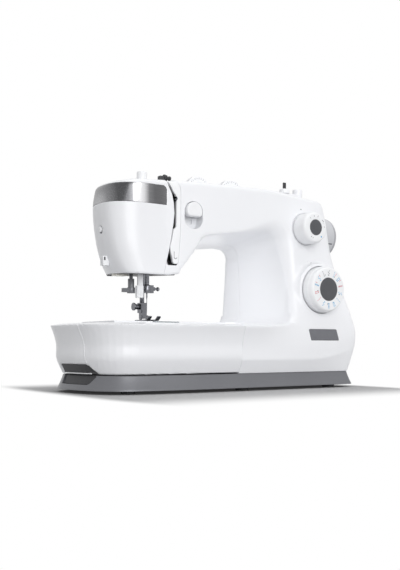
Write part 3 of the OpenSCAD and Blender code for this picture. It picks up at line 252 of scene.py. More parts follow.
WHITE = (1.0, 1.0, 1.0, 1.0)
# Painted shade: around the stand the floor stays grey, then fades to white, sooner at the ends than
# in front.
STAND_X, STAND_Y = 0.195, 0.095
FADE_START, FADE_END, SIDE_PULL = 0.03, 0.16, 18.0
paint = Paint("pale_floor")
beside = (paint.place("X").size() - STAND_X).most(0.0)
before_it = (paint.place("Y").size() - STAND_Y).most(0.0)
away = (beside * beside * SIDE_PULL + before_it * before_it).root()
shade_to_white = away.step(FADE_START, FADE_END)
seen = seen_directly(paint)
matt = paint.node("ShaderNodeBsdfDiffuse", None, SHADE_FLOOR_TONE)
lift = paint.node("ShaderNodeEmission", None, WHITE, seen * 0.02)
painted_shade_floor = paint.node("ShaderNodeAddShader", None, matt, lift)
far_floor = paint.node("ShaderNodeEmission", None, WHITE, seen * 0.4 + 0.6)
floor_mesh.materials.append(
    paint.surface(paint.node("ShaderNodeMixShader", None, shade_to_white * seen, painted_shade_floor, far_floor)))

world = bpy.data.worlds.new("studio")
bpy.context.scene.world = world
world.use_nodes = True
sky = Paint.__new__(Paint)
sky.tree = world.node_tree
sky.tree.nodes.clear()
sky_out = sky.tree.nodes.new("ShaderNodeOutputWorld")
sky_strength = seen_directly(sky) * (1 - WORLD_LIGHT) + WORLD_LIGHT
sky_light = sky.node("ShaderNodeBackground", None, WHITE, sky_strength)
sky.tree.links.new(sky_light.output, sky_out.inputs["Surface"])


def softbox(name, place, target, size, power):
    """A square lamp at a place, turned towards a target."""
    data = bpy.data.lights.new(name, "AREA")
    data.shape = "RECTANGLE"
    data.size, data.size_y = size
    data.energy = power
    lamp = bpy.data.objects.new(name, data)
    bpy.context.scene.collection.objects.link(lamp)
    lamp.location = place
    lamp.rotation_euler = (Vector(target) - Vector(place)).to_track_quat("-Z", "Y").to_euler()


softbox("key_light", (-0.5, -2.7, 1.0), (0.0, 0.0, 0.15), (1.8, 1.8), 35.0)
softbox("low_light", (-0.5, -1.8, 0.22), (0.0, 0.0, 0.06), (1.4, 0.3), 3.0)
softbox("top_light", (0.2, -0.2, 2.6), (0.0, 0.0, 0.1), (2.2, 1.6), 15.0)
softbox("throat_light", (-0.045, 0.0, 0.125), (0.06, 0.0, 0.12), (0.07, 0.07), 0.045)
bpy.context.scene.view_settings.view_transform = "Standard"
print("studio is lit")

# %% [markdown]
# ## Metals, rubber and the darker plastics
# The base is painted a satin silver with fine grain. The band on the head is brushed chrome with a
# painted reflection: a dark and a bright streak in its colour along X. Turned steel has fine rings,
# cast metal is grainy, and rubber is dull with a little dust. The inks are dull too.

# %% Other finishes
def flake_paint(name, tone, dark):
    """Satin paint with fine flakes."""
    p = Paint(name)
    grain = p.noise(5200, 2)
    drift = p.noise(14, 2)
    colour = p.mix(grain * 0.5 + drift * 0.35, tone, dark)
    rough = grain * 0.10 + 0.33
    normal = p.bump(p.noise(2600, 3), 0.00003, 0.5)
    return p.principled(colour, rough, 0.35, Normal=normal, Coat_Weight=0.1, Coat_Roughness=0.25)


def brushed(name, tone, rough, axis_scale, painted_reflection=None):
    """Metal with fine brush lines. painted_reflection is (place along X, tone) stops of a painted
    reflection.
    """
    p = Paint(name)
    lines = p.noise(900, 3, axis_scale, 0.6)
    base = p.mix(lines, tuple(c * 0.88 for c in tone), tone)
    # A painted reflection: tones along X in the colour, standing for the streaks a room would
    # mirror.
    if painted_reflection:
        low, high = painted_reflection[0][0], painted_reflection[-1][0]
        along = (p.place("X") - low * MM) * (1 / ((high - low) * MM))
        stops = [((x - low) / (high - low), from_screen(v, v, v + 2)) for x, v in painted_reflection]
        base = p.mix(lines * 0.10, p.node("ShaderNodeValToRGB", {"stops": stops}, along), tone)
    normal = p.bump(lines, 0.00004, 0.35)
    return p.principled(base, lines * 0.12 + rough, 1.0, Normal=normal)


def turned(name, tone, rough=0.22):
    """Ground or turned metal, with small scratches and a faint drift of tone."""
    p = Paint(name)
    scratch = p.noise(1500.0, 4, (1.0, 1.0, 0.15), 0.65)
    drift = p.noise(60, 2)
    colour = p.mix(drift * 0.6 + scratch * 0.3, tuple(c * 0.80 for c in tone), tone)
    normal = p.bump(scratch, 0.00002, 0.3)
    return p.principled(colour, scratch * 0.16 + rough, 1.0, Normal=normal)


def cast(name, tone):
    """Sand-cast metal with small pits."""
    p = Paint(name)
    pits = p.noise(1400, 4)
    colour = p.mix(pits, tuple(c * 0.72 for c in tone), tone)
    return p.principled(colour, pits * 0.2 + 0.42, 0.85, Normal=p.bump(pits, 0.00016, 0.6))


def dull(name, tone, rough=0.6, grain=2400.0, depth=0.00005):
    """Textured dark plastic or rubber, a little dusty."""
    p = Paint(name)
    skin = p.noise(grain, 3)
    dust = p.noise(90, 3)
    colour = p.mix(dust * 0.5 + skin * 0.3, tone, tuple(min(1.0, c * 1.5 + 0.004) for c in tone))
    return p.principled(colour, skin * 0.14 + rough - 0.05, 0.0,
                        Normal=p.bump(skin, depth, 0.6))


def clear(name, tint):
    """Clear plastic with a smeared shine."""
    p = Paint(name)
    smear = p.noise(120, 3)
    shader = p.node("ShaderNodeBsdfPrincipled", None, Base_Color=(*tint, 1.0),
                    Roughness=smear * 0.10 + 0.06, IOR=1.49, Transmission_Weight=0.82,
                    Normal=p.bump(smear, 0.00002, 0.3))
    return p.surface(shader)


base_silver = flake_paint("base_silver", from_screen(122, 123, 127), from_screen(96, 97, 102))
# These stops are the band's painted reflection, a dark and a bright streak along X.
band_chrome = brushed("band_chrome", from_screen(206, 207, 210), 0.20, (0.05, 1.0, 1.0),
                      [(-165, 208), (-158, 124), (-150, 72), (-140, 62), (-135, 96), (-130, 208),
                       (-125, 242), (-119, 214), (-112, 118), (-104, 92), (-95, 94), (-86, 108)])
steel = turned("steel", from_screen(150, 151, 155))
bright_steel = turned("bright_steel", from_screen(124, 125, 130), 0.16)
plate_steel = brushed("plate_steel", from_screen(204, 205, 208), 0.24, (0.04, 1.0, 1.0))
cast_alloy = cast("cast_alloy", from_screen(176, 177, 180))
bush_brass = turned("bush_brass", from_screen(205, 178, 120), 0.30)
plate_grey = dull("plate_grey", from_screen(98, 99, 104), 0.36, 3000.0, 0.00002)
cap_grey = dull("cap_grey", from_screen(66, 67, 71), 0.36, 3000.0, 0.00002)
dark_plastic = dull("dark_plastic", from_screen(50, 50, 53), 0.46)
grip_dark = dull("grip_dark", from_screen(44, 44, 47), 0.55)
belt_rubber = dull("belt_rubber", from_screen(38, 38, 39), 0.7, 900.0, 0.0001)
foot_rubber = dull("foot_rubber", from_screen(58, 58, 60), 0.75, 1500.0, 0.00008)
clear_plastic = clear("clear_plastic", from_screen(226, 233, 238))
board_green = dull("board_green", from_screen(38, 96, 62), 0.35, 800.0, 0.00006)
lamp_white = moulded("lamp_white", from_screen(249, 247, 236), 0.25)
wheel_grey = moulded("wheel_grey", from_screen(201, 202, 206), 0.30)
wheel_edge = moulded("wheel_edge", from_screen(172, 173, 178), 0.36)
mark_grey = dull("mark_grey", from_screen(92, 93, 98), 0.5, 3000.0, 0.00001)
mark_blue = dull("mark_blue", from_screen(58, 152, 196), 0.5, 3000.0, 0.00001)
mark_red = dull("mark_red", from_screen(196, 92, 104), 0.5, 3000.0, 0.00001)
print("finishes are ready")

# %% [markdown]
# ## Covers as distance fields
# The covers are one flowing skin: a round head, a skewed arm, an opening under it and a column that
# runs down into the bed, with soft changes between them. Subdivision surfaces need a cage that
# follows all this by hand. A distance field says how far a point is from the skin, and rounding
# two shapes into each other is then one line. The skin is where the field is zero.
# Lengths in the fields are in millimetres, and become metres when a mesh is made.

# %% Field helpers
def curve_through(points):
    """A smooth function through (where, value) points."""
    at, value = np.array(points, float).T
    slope = np.gradient(value, at)

    def read(q):
        q = np.clip(q, at[0], at[-1])
        i = np.clip(np.searchsorted(at, q, side="right") - 1, 0, len(at) - 2)
        width = at[i + 1] - at[i]
        t = (q - at[i]) / width
        a, b = value[i], value[i + 1]
        ma, mb = slope[i] * width, slope[i + 1] * width
        return ((2 * t**3 - 3 * t**2 + 1) * a + (t**3 - 2 * t**2 + t) * ma
                + (3 * t**2 - 2 * t**3) * b + (t**3 - t**2) * mb)

    return read


def smooth_step(low, high, q):
    t = np.clip((q - low) / (high - low), 0, 1)
    return t * t * (3 - 2 * t)


def blend(a, b, share):
    return a + (b - a) * share


def bezier(points, count):
    t = np.linspace(0, 1, count, endpoint=False)[:, None]
    a, b, c, d = (np.array(p, float) for p in points)
    return (1 - t)**3 * a + 3 * (1 - t)**2 * t * b + 3 * (1 - t) * t**2 * c + t**3 * d


def arc(centre, radius, start, end, count):
    a = np.radians(np.linspace(start, end, count))
    return np.array(centre, float) + radius * np.stack([np.cos(a), np.sin(a)], 1)


def inset(points, d):
    """Moves every side of an anticlockwise outline inwards by d."""
    points = np.array(points, float)

    def side_normal(v):
        v = v / np.linalg.norm(v, axis=1)[:, None]
        return np.stack([-v[:, 1], v[:, 0]], 1)

    n1 = side_normal(points - np.roll(points, 1, axis=0))
    n2 = side_normal(np.roll(points, -1, axis=0) - points)
    return points + d * (n1 + n2) / (1 + (n1 * n2).sum(1))[:, None]


def outline_distance(u, v, points):
    """How far (u, v) lies outside a closed outline. It is negative inside."""
    u, v = np.broadcast_arrays(u, v)
    best = np.full(u.shape, 1e9)
    inside = np.zeros(u.shape, bool)
    ends = np.roll(points, -1, axis=0)
    for (au, av), (bu, bv) in zip(points, ends):
        eu, ev = bu - au, bv - av
        wu, wv = u - au, v - av
        t = np.clip((wu * eu + wv * ev) / (eu * eu + ev * ev), 0, 1)
        best = np.minimum(best, (wu - eu * t)**2 + (wv - ev * t)**2)
        if ev:
            inside ^= ((av > v) != (bv > v)) & (u < au + wv * eu / ev)
    return np.where(inside, -1, 1) * np.sqrt(best)


def both(a, b, radius):
    """Inside a and inside b, with the edge between them rounded."""
    if np.isscalar(radius) and radius <= 0:
        return np.maximum(a, b)
    u, v = np.maximum(a + radius, 0), np.maximum(b + radius, 0)
    return np.minimum(np.maximum(a, b), -radius) + np.sqrt(u * u + v * v)


def either(a, b, radius):
    """Inside a or inside b, with a fillet where they meet."""
    return -both(-a, -b, radius)


def less(a, b, radius):
    """Inside a and outside b."""
    return both(a, -b, radius)


def box_field(x, y, z, low, high, radius=0.0):
    """Distance to a box with rounded edges."""
    q = [np.abs(c - (lo + hi) / 2) - (hi - lo) / 2 + radius
         for c, lo, hi in zip((x, y, z), low, high)]
    outside = np.sqrt(sum(np.maximum(c, 0)**2 for c in q))
    return outside + np.minimum(np.maximum(np.maximum(q[0], q[1]), q[2]), 0) - radius


print("field helpers are ready")

# %% [markdown]
# ## Meshing a field
# Marching cubes gives thin triangles. Surface nets put one point in each cell that the skin passes
# through and join neighbours with quads, which shade well. Each point is then moved onto the exact
# skin along the field's slope, so a coarse grid still gives a true surface.

# %% Surface nets
EDGES = [(0, 1), (2, 3), (4, 5), (6, 7), (0, 2), (1, 3), (4, 6), (5, 7),
         (0, 4), (1, 5), (2, 6), (3, 7)]
CORNERS = np.array([[i & 1, (i >> 1) & 1, (i >> 2) & 1] for i in range(8)])


def slope_of(field, points):
    x, y, z = points.T
    step = 0.02
    return np.stack([
        (field(x + step, y, z) - field(x - step, y, z)) / (2 * step),
        (field(x, y + step, z) - field(x, y - step, z)) / (2 * step),
        (field(x, y, z + step) - field(x, y, z - step)) / (2 * step)], 1)


def onto(field, points, limit):
    """Moves points onto the skin, in three steps that are each no longer than limit."""
    for _ in range(3):
        value = field(*points.T)
        slope = slope_of(field, points)
        move = -value[:, None] * slope / np.maximum((slope**2).sum(1), 0.05)[:, None]
        far = np.maximum(np.linalg.norm(move, axis=1) / limit, 1)[:, None]
        points = points + move / far
    return points


def normals_of(field, points):
    slope = slope_of(field, points)
    return slope / np.maximum(np.linalg.norm(slope, axis=1), 1e-9)[:, None]


def mesh_field(field, low, high, cell):
    """(points, quads) of the skin of a field in a box."""
    low = np.array(low, float)
    x, y, z = (np.arange(lo, hi + cell, cell) for lo, hi in zip(low, high))
    shape = (len(x), len(y), len(z))
    value = np.broadcast_to(field(x[:, None, None], y[None, :, None], z[None, None, :]), shape)
    value = np.ascontiguousarray(value)
    inside = value < 0
    count = sum(inside[i:shape[0] - 1 + i, j:shape[1] - 1 + j, k:shape[2] - 1 + k].astype(np.int8)
                for i, j, k in CORNERS)
    cells = np.argwhere((count > 0) & (count < 8))
    corner = cells[:, None, :] + CORNERS[None]
    at = value[corner[..., 0], corner[..., 1], corner[..., 2]]
    total = np.zeros((len(cells), 3))
    found = np.zeros(len(cells))
    for a, b in EDGES:
        cross = (at[:, a] < 0) != (at[:, b] < 0)
        span = np.where(cross, at[:, a] - at[:, b], 1)
        t = np.where(cross, at[:, a] / span, 0)[:, None]
        point = CORNERS[a] + t * (CORNERS[b] - CORNERS[a])
        total += np.where(cross[:, None], point, 0)
        found += cross
    points = low + cell * (cells + total / found[:, None])
    number = np.full(tuple(s - 1 for s in shape), -1, np.int64)
    number[tuple(cells.T)] = np.arange(len(cells))
    quads = []
    for axis in range(3):
        u, v = [(1, 2), (2, 0), (0, 1)][axis]
        first = [slice(None)] * 3
        second = [slice(None)] * 3
        first[axis], second[axis] = slice(0, -1), slice(1, None)
        a, b = inside[tuple(first)], inside[tuple(second)]
        for starts in (True, False):
            edge = np.argwhere((a == starts) & (b != starts))
            edge = edge[(edge[:, u] > 0) & (edge[:, v] > 0)
                        & (edge[:, u] < shape[u] - 1) & (edge[:, v] < shape[v] - 1)]
            ring = []
            for du, dv in ((0, 0), (-1, 0), (-1, -1), (0, -1)):
                c = edge.copy()
                c[:, u] += du
                c[:, v] += dv
                ring.append(number[tuple(c.T)])
            ring = np.stack(ring, 1)
            quads.append(ring if starts else ring[:, ::-1])
    points = onto(field, points, cell)
    return points, np.concatenate(quads)


print("surface nets are ready")

# %% [markdown]
# ## Cutting a skin into covers
# A seam is only a third of a millimetre wide, far finer than the grid. So the skin is meshed once
# and cut along each seam: a face that the seam crosses is clipped on the line where a second field
# is zero. Each piece then gets a rounded edge and the wall's thickness, and becomes a closed shell.

# %% Clip and thicken
SNAP, SNAP_MOVE = 0.35, 0.6


def keep_where(mesh, test):
    """Keeps the part where test is below zero. Points near the cut slide onto it."""
    points, faces = mesh
    value = test(*points.T)
    near = np.abs(value) < SNAP
    if near.any():
        slope = slope_of(test, points[near])
        size = np.maximum((slope**2).sum(1), 0.25)[:, None]
        move = -value[near][:, None] * slope / size
        points = points.copy()
        short = np.linalg.norm(move, axis=1) < SNAP_MOVE
        points[near] += np.where(short[:, None], move, 0)
        value = value.copy()
        value[near] = np.where(short, 0.0, value[near])
    value = value.tolist()
    added, made, kept = [], {}, []
    start = len(points)

    def crossing(a, b):
        key = (a, b) if a < b else (b, a)
        if key not in made:
            t = value[a] / (value[a] - value[b])
            added.append(points[a] + t * (points[b] - points[a]))
            made[key] = start + len(added) - 1
        return made[key]

    for face in faces:
        signs = [value[i] for i in face]
        if max(signs) <= 0:
            if min(signs) < 0:
                kept.append(tuple(face))
        elif min(signs) < 0:
            ring = []
            for here, after in zip(face, [*face[1:], face[0]]):
                if value[here] <= 0:
                    ring.append(here)
                if value[here] * value[after] < 0:
                    ring.append(crossing(here, after))
            if len(ring) > 2:
                kept.append(tuple(ring))
    if added:
        points = np.concatenate([points, np.array(added)])
    used = np.unique(np.concatenate([np.array(f) for f in kept]))
    renumber = np.full(len(points), -1)
    renumber[used] = np.arange(len(used))
    return points[used], [tuple(int(renumber[i]) for i in f) for f in kept]


def rims_of(faces):
    """The directed edges that only one face has."""
    seen = {}
    for face in faces:
        for edge in zip(face, (*face[1:], face[0])):
            seen[edge] = True
    return [e for e in seen if (e[1], e[0]) not in seen]


def shell(mesh, field, wall, edge=0.35):
    """A closed shell inside the skin, with rounded edges where the skin was cut."""
    points, faces = mesh
    normal = normals_of(field, points)
    rim = rims_of(faces)
    out = np.zeros_like(points)
    for a, b in rim:
        along = points[b] - points[a]
        span = np.linalg.norm(along)
        if span > 1e-6:
            push = np.cross(along / span, normal[a]) * min(span, 1.0)
            out[a] += push
            out[b] += push
    size = np.linalg.norm(out, axis=1)
    border = np.unique(np.array([i for e in rim for i in e]))
    out[border] /= np.maximum(size[border], 1e-9)[:, None]
    count = len(points)
    rings = [(edge, 0.0), (edge * 0.3, edge * 0.3), (0.0, edge)]
    outer = points.copy()
    outer[border] -= out[border] * edge
    slot = {int(i): n for n, i in enumerate(border)}
    rows = [points[border] - out[border] * back - normal[border] * down
            for back, down in rings[1:]]
    inner = points - normal * wall
    everything = np.concatenate([outer, *rows, inner])
    bases = [count + len(border) * n for n in range(len(rows))]
    inner_base = count + len(border) * len(rows)
    result = [tuple(f) for f in faces]
    result += [tuple(inner_base + i for i in reversed(f)) for f in faces]
    for a, b in rim:
        ladder = [(a, b)] + [(base + slot[a], base + slot[b]) for base in bases]
        ladder.append((inner_base + a, inner_base + b))
        for (p, q), (r, s) in zip(ladder, ladder[1:]):
            result.append((q, p, r, s))
    return everything, result


def merged(*meshes):
    """Several (points, faces) as one."""
    points, faces, base = [], [], 0
    for p, f in meshes:
        points.append(np.asarray(p, float))
        faces += [tuple(int(base + i) for i in face) for face in f]
        base += len(p)
    return np.concatenate(points), faces


def piece(name, mesh, material, body, stands_for=(), sharp=32.0):
    """An object from (points in mm, faces), on its body and shaded smooth up to a sharp angle."""
    points, faces = mesh
    data = bpy.data.meshes.new(name)
    data.from_pydata((np.asarray(points) * MM).tolist(), [], [tuple(map(int, f)) for f in faces])
    data.validate()
    data.update()
    for m in material if isinstance(material, list) else [material]:
        data.materials.append(m)
    data.shade_smooth()
    data.set_sharp_from_angle(angle=math.radians(sharp))
    made = bpy.data.objects.new(name, data)
    bpy.context.scene.collection.objects.link(made)
    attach(made, body)
    if stands_for:
        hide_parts(*stands_for)
    print(f"{name}: {len(data.polygons)} faces")
    return made


print("cutting helpers are ready")

# %% [markdown]
# ## The skin of the covers
# The front of the arm runs forward to the right, and turns into the column's front, which leans out
# towards the bed. Below a crease the bed tucks in again, and the crease climbs at the right end.
# These are read as curves of height, and blended along the length.

# %% The body's field
WALL = 2.6
SEAM_X, SEAM_Y, SEAM_GAP = -6.0, 37.0, 0.3
HEAD_Z, HEAD_RIGHT, HEAD_RISE = 145.0, -74.5, 6.7
BED_Z, WAIST_Z, CREASE_Z, TUCK = 87.0, 22.0, 39.0, 7.4
ARM_FRONT, ARM_BACK = -38.3, 48.3
PATTERN_AT, COLLAR_R = (131.5, 132.5), 36.5

head_left = curve_through([(100, -140), (145, -146.5), (155, -150.6), (167, -155), (181, -159),
                           (205, -162.4), (222, -163), (232, -162.7), (245, -160), (256, -155.5),
                           (266, -149), (275, -141)])
corner_left = curve_through([(100, -128), (145, -140), (150, -143.5), (159, -149.5), (171, -154.5),
                             (184, -158.5), (197, -161), (210, -163), (245, -163), (259, -159),
                             (266, -152), (275, -143)])
column_front = curve_through([(39, -77), (60, -78), (85, -76), (132, -64), (175, -59.4),
                              (215, -56), (256, -52), (275, -50)])
right_edge = curve_through([(10, 186), (22.7, 190.4), (39, 194.2), (60, 198), (78, 198.4),
                            (100, 194.6), (126, 188.6), (168, 173.6), (184, 169.4), (237, 162),
                            (257, 157.5), (275, 152)])
body_back = curve_through([(39, 86), (60, 85), (85, 80.4), (132, 74), (240, 72), (275, 68)])
bed_flare = curve_through([(39, 7.4), (60, 8.6), (72, 11.5), (82.4, 15.4), (92, 19)])
arm_top = curve_through([(-220, 256), (-165, 257.2), (-150, 258.8), (-138, 260.2), (-120, 261.8),
                         (-100, 263.2), (-80, 264.4), (-60, 265), (30, 265), (60, 264.6),
                         (110, 260.6), (152, 257), (220, 251)])


def tuck(z):
    """The inward slope below the crease, as a distance from the crease's outline."""
    return (np.minimum(z, CREASE_Z) - CREASE_Z) * (TUCK / (CREASE_Z - WAIST_Z))


def crease_height(x):
    return CREASE_Z + 20 * np.clip((x - 105) / 93, 0, 1.2)**2


def uncreased(x, z):
    """Height on a machine whose crease is level."""
    top = crease_height(x)
    below = WAIST_Z + (z - WAIST_Z) * (CREASE_Z - WAIST_Z) / (top - WAIST_Z)
    above = CREASE_Z + (z - top) * (85 - CREASE_Z) / (85 - top)
    return np.where(z < top, below, np.where(z < 85, above, z))


def front_face(x, z):
    """Y of the front, for each place seen from the front."""
    level = uncreased(x, z)
    drop = tuck(level)
    column = column_front(level) - drop
    bed = -69 - bed_flare(level) - drop
    low = blend(bed, column, smooth_step(5, 95, x))
    arm = np.where(x > -88, -28.3 - 0.153 * (x + 88), -28.3)
    reach = 88 + 17 * smooth_step(87, 190, z)
    high = blend(arm, column, smooth_step(reach - 62, reach, x))
    return np.where(z < np.where(x < 76, 92, BED_Z), low, high)


def head_field(x, y, z):
    """A rounded end: a full front corner, and a rear corner that narrows downwards."""
    scale = 74.7 / (-88 - head_left(z))
    u = np.minimum(-88 + (x + 88) * scale + 118, 0) / 44.7
    v = np.maximum(16 - y, 0) / 44.6
    front = ((np.abs(u)**2.4 + v**2.4)**(1 / 2.4) - 1) * 46
    pull = 75 / (-88 - corner_left(z))
    u = np.minimum(-88 + (x + 88) * pull + 95, 0) / 68
    v = np.maximum(y - 5, 0) / (body_back(z) - 4.8)
    rear = (np.sqrt(u**2 + v**2) - 1) * 66
    return both(np.where(x > -106, -30.0, front), np.where(x > -95, -30.0, rear), 8.0)


under_front = np.concatenate([
    [(-260, BED_Z), (62, BED_Z)], arc((66.5, 103), 16, -90, -8, 8)[1:],
    [(84.6, 118), (86, 134), (85, 165), (81.5, 187)],
    arc((61.5, 190), 19.6, 4, 92, 9),
    [(48.5, 208.6), (10, 204.4), (-24, 199.9)],
    arc((-27, 183), 16, 104, 140, 5), [(-50, 176), (-60, 162.6), (-67, 153.2)],
    arc((-76.5, 159.4), 14.5, -42, -84, 5)[1:],
    [(-84, HEAD_Z - 1.2), (-260, HEAD_Z - 1.2)]])
under_back = np.concatenate([
    [(-260, BED_Z), (54, BED_Z)], arc((61.2, 98), 11, -90, -4, 8)[1:],
    [(72.2, 112), (71, 140), (69.2, 176)],
    arc((55.8, 179.5), 14, 4, 88, 7),
    [(48.5, 195.2), (10, 192.6), (-24, 190.2)],
    arc((-27, 176), 14, 104, 140, 5), [(-48, 171), (-57, 163), (-65, 156)],
    arc((-76.5, 165.8), 14.5, -50, -84, 4)[1:],
    [(-84, HEAD_Z + 5.5), (-260, HEAD_Z + 5.5)]])


def backward(y):
    """0 at the arm's front and 1 at its back."""
    return np.clip((y + 53) / 125, 0, 1)


def under_arm_field(x, y, z):
    """The opening that the cloth passes through, wider at the front than at the back."""
    rim = 4.6 * np.clip((-62 - y) / 22, 0, 1) * (1 - smooth_step(30, 92, x))
    height = z + np.where(z < 100, rim, 0)
    front = outline_distance(x, height, under_front)
    back = outline_distance(x, height, under_back)
    return blend(front, back, backward(y))


def outside_field(x, y, z):
    """The body before the opening is taken out."""
    level = uncreased(x, z)
    right = (x - right_edge(z)) * 0.97
    front = (front_face(x, z) - y) * 0.98
    back = y - body_back(np.maximum(level, CREASE_Z)) - tuck(level)
    sides = both(both(front, right, 13.0), both(back, right, 12.0), 0.0)
    sides = np.maximum(sides, head_field(x, y, z))
    top = z - arm_top(x)
    return both(sides, top, 6.5)


def body_field(x, y, z):
    edge = 2.2 + 15 * smooth_step(10, 78, x) * smooth_step(120, 200, z)
    edge = edge + 7 * smooth_step(40, 84, x) * (1 - smooth_step(120, 200, z))
    edge = np.where(z < 100, blend(2.4, edge, smooth_step(70, 90, x)), edge)
    return both(outside_field(x, y, z), -under_arm_field(x, y, z), edge)


def with_collar(x, y, z):
    """The body with the soft ring that stands round the large dial."""
    ring = np.sqrt((x - PATTERN_AT[0])**2 + (z - PATTERN_AT[1])**2) - COLLAR_R
    collar = both(both(ring, -70.0 - y, 2.5), y + 40, 0)
    return either(body_field(x, y, z), collar, 5.0)


def head_floor(y):
    """Height of the head's underside, which rises a little to the back."""
    return HEAD_Z - 1.2 + HEAD_RISE * backward(y)


skin = mesh_field(with_collar, (-170, -92, 15), (204, 92, 271), 2.0)
print("skin:", len(skin[0]), "points")

# %% [markdown]
# ## Seams
# The face plate meets the front cover along a bowed line, and the thread channel runs beside it.
# Their outlines are plain lists of points seen from the front. A cutter is a function that is
# negative where the piece stays.

# %% Cut the skin into covers
face_seam = np.array([(-91.5, 140), (-91.2, 145), (-87.5, 160.5), (-84.5, 173), (-81, 190),
                      (-77.8, 210), (-76.5, 222), (-77.3, 235), (-80, 247), (-84.4, 256),
                      (-90, 270), (-220, 270), (-220, 140)])
slit_right = [(-79.0, 162), (-80.2, 168), (-82.2, 175), (-82.6, 181), (-80.2, 190), (-78, 203),
              (-74.4, 205), (-74.1, 215), (-74, 232), (-74.3, 245), (-78, 249), (-81.5, 256),
              (-85, 262), (-88.6, 270)]
channel = np.array([(-73.6, 158.8), (-71.6, 160.2), (-70.9, 163), (-70.2, 176), (-68.3, 202),
                    (-68, 250), (-69, 256), (-72, 261), (-78, 264.5), (-80, 270)]
                   + slit_right[::-1] + [(-77.6, 159.6)])
slit = np.array([(-72.9, 157.4), (-72.9, 159.2), (-77.8, 159.9)] + slit_right
                + [(-89.8, 270), (-84, 256), (-79.7, 247), (-77, 235), (-76.2, 222), (-77.5, 210),
                   (-80.7, 190), (-83.1, 180.5), (-84.2, 175.5), (-85.9, 168),
                   (-87.0, 162.2), (-86.0, 157.4)])


def behind(limit):
    return lambda x, y, z: limit - y


def before(limit):
    return lambda x, y, z: y - limit


def above(limit):
    return lambda x, y, z: limit - z


def outside_outline(points, gap, front_only=True):
    """Stays where a point lies gap outside an outline that is seen from the front."""
    def test(x, y, z):
        away = gap - outline_distance(x, z, points)
        return np.where(y > 5, -5.0, away) if front_only else away
    return test


def inside_outline(points, gap):
    return lambda x, y, z: outline_distance(x, z, points) + gap


def outside_circle(x0, z0, radius):
    def test(x, y, z):
        away = radius - np.sqrt((x - x0)**2 + (z - z0)**2)
        return np.where(y > -10, -5.0, away)
    return test


def outside_box(low, high):
    return lambda x, y, z: -box_field(x, y, z, low, high)


def head_open(x, y, z):
    """Opens the head below, where its own plate closes it."""
    low = z - head_floor(y) - 2.2
    return -np.maximum(np.maximum(low, outside_field(x, y, z) + 2.7), x - HEAD_RIGHT)


body = keep_where(skin, above(WAIST_Z + 0.1))
body = keep_where(body, lambda x, y, z: -np.maximum(x - SEAM_X, z - 100))
body = keep_where(body, head_open)
half = SEAM_GAP / 2
front_half = keep_where(body, before(SEAM_Y - half))
rear_skin = keep_where(body, behind(SEAM_Y + half))
face_skin = keep_where(front_half, inside_outline(face_seam, half))
front_skin = keep_where(front_half, outside_outline(face_seam, half, False))
channel_skin = keep_where(front_skin, inside_outline(channel, half))
channel_skin = keep_where(channel_skin, before(-10))
channel_skin = keep_where(channel_skin, lambda x, y, z: z - 262.6)
front_skin = keep_where(front_skin, outside_outline(channel, half))
front_skin = keep_where(front_skin, outside_outline(slit, 0.0))
print("front", len(front_skin[1]), "rear", len(rear_skin[1]), "face", len(face_skin[1]))

# %% [markdown]
# ## Recesses for the dials and the reverse lever
# Each dial turns in a round well a little wider than itself. The well's rim follows the skin, and
# its floor has a hole for the shaft. On a moulded cover these wells are part of the wall.

# %% Wells
def skin_y(x, z):
    """Where the front skin is, behind points that are given as seen from the front."""
    x, z = np.broadcast_arrays(np.asarray(x, float), np.asarray(z, float))
    out, into = np.full(x.shape, -95.0), np.full(x.shape, -12.0)
    for _ in range(30):
        middle = (out + into) / 2
        inside = with_collar(x, middle, z) < 0
        into = np.where(inside, middle, into)
        out = np.where(inside, out, middle)
    return into


def ring_faces(first, second, count):
    return [(first + i, first + (i + 1) % count, second + (i + 1) % count, second + i)
            for i in range(count)]


def rings(*layers):
    """A closed solid that runs through rings of points and back to the first."""
    count = len(layers[0])
    faces = []
    for k in range(len(layers)):
        faces += ring_faces(k * count, (k + 1) % len(layers) * count, count)
    return np.concatenate(layers), faces


def layer_faces(layers, count):
    """The faces between rings of count points, one above another, with both ends closed."""
    faces = []
    for k in range(layers - 1):
        faces += ring_faces(k * count, (k + 1) * count, count)
    return faces + [tuple(reversed(range(count))),
                    tuple((layers - 1) * count + i for i in range(count))]


def loft(outlines):
    """A closed solid through level outlines with the same number of points, lowest first."""
    count = len(outlines[0][0])
    points = np.concatenate([np.column_stack([o, np.full(count, z)]) for o, z in outlines])
    return points, layer_faces(len(outlines), count)


def block(low, high):
    (x0, y0, z0), (x1, y1, z1) = low, high
    return loft([(np.array([(x0, y0), (x1, y0), (x1, y1), (x0, y1)], float), z) for z in (z0, z1)])


def at_depth(outline, y):
    y = np.broadcast_to(y, (len(outline),))
    return np.stack([outline[:, 0], y, outline[:, 1]], 1)


def well(outline, hole, floor_y, floor_t, side=1.4, lip=1.0):
    """A cup behind an outline, with a hole in its floor. Both outlines are seen from the front."""
    outer = inset(outline, -side)
    rim = skin_y(outline[:, 0], outline[:, 1]) + lip
    outer_rim = skin_y(outer[:, 0], outer[:, 1]) + lip
    corner = inset(outline, 0.8)
    return rings(at_depth(outline, rim), at_depth(outline, floor_y - 0.8),
                 at_depth(corner, floor_y), at_depth(hole, floor_y),
                 at_depth(hole, floor_y + floor_t), at_depth(outer, floor_y + floor_t),
                 at_depth(outer, outer_rim))


def circle(x, z, radius, count=72):
    turn = np.linspace(0, 2 * np.pi, count, endpoint=False)
    return np.stack([x + radius * np.cos(turn), z + radius * np.sin(turn)], 1)


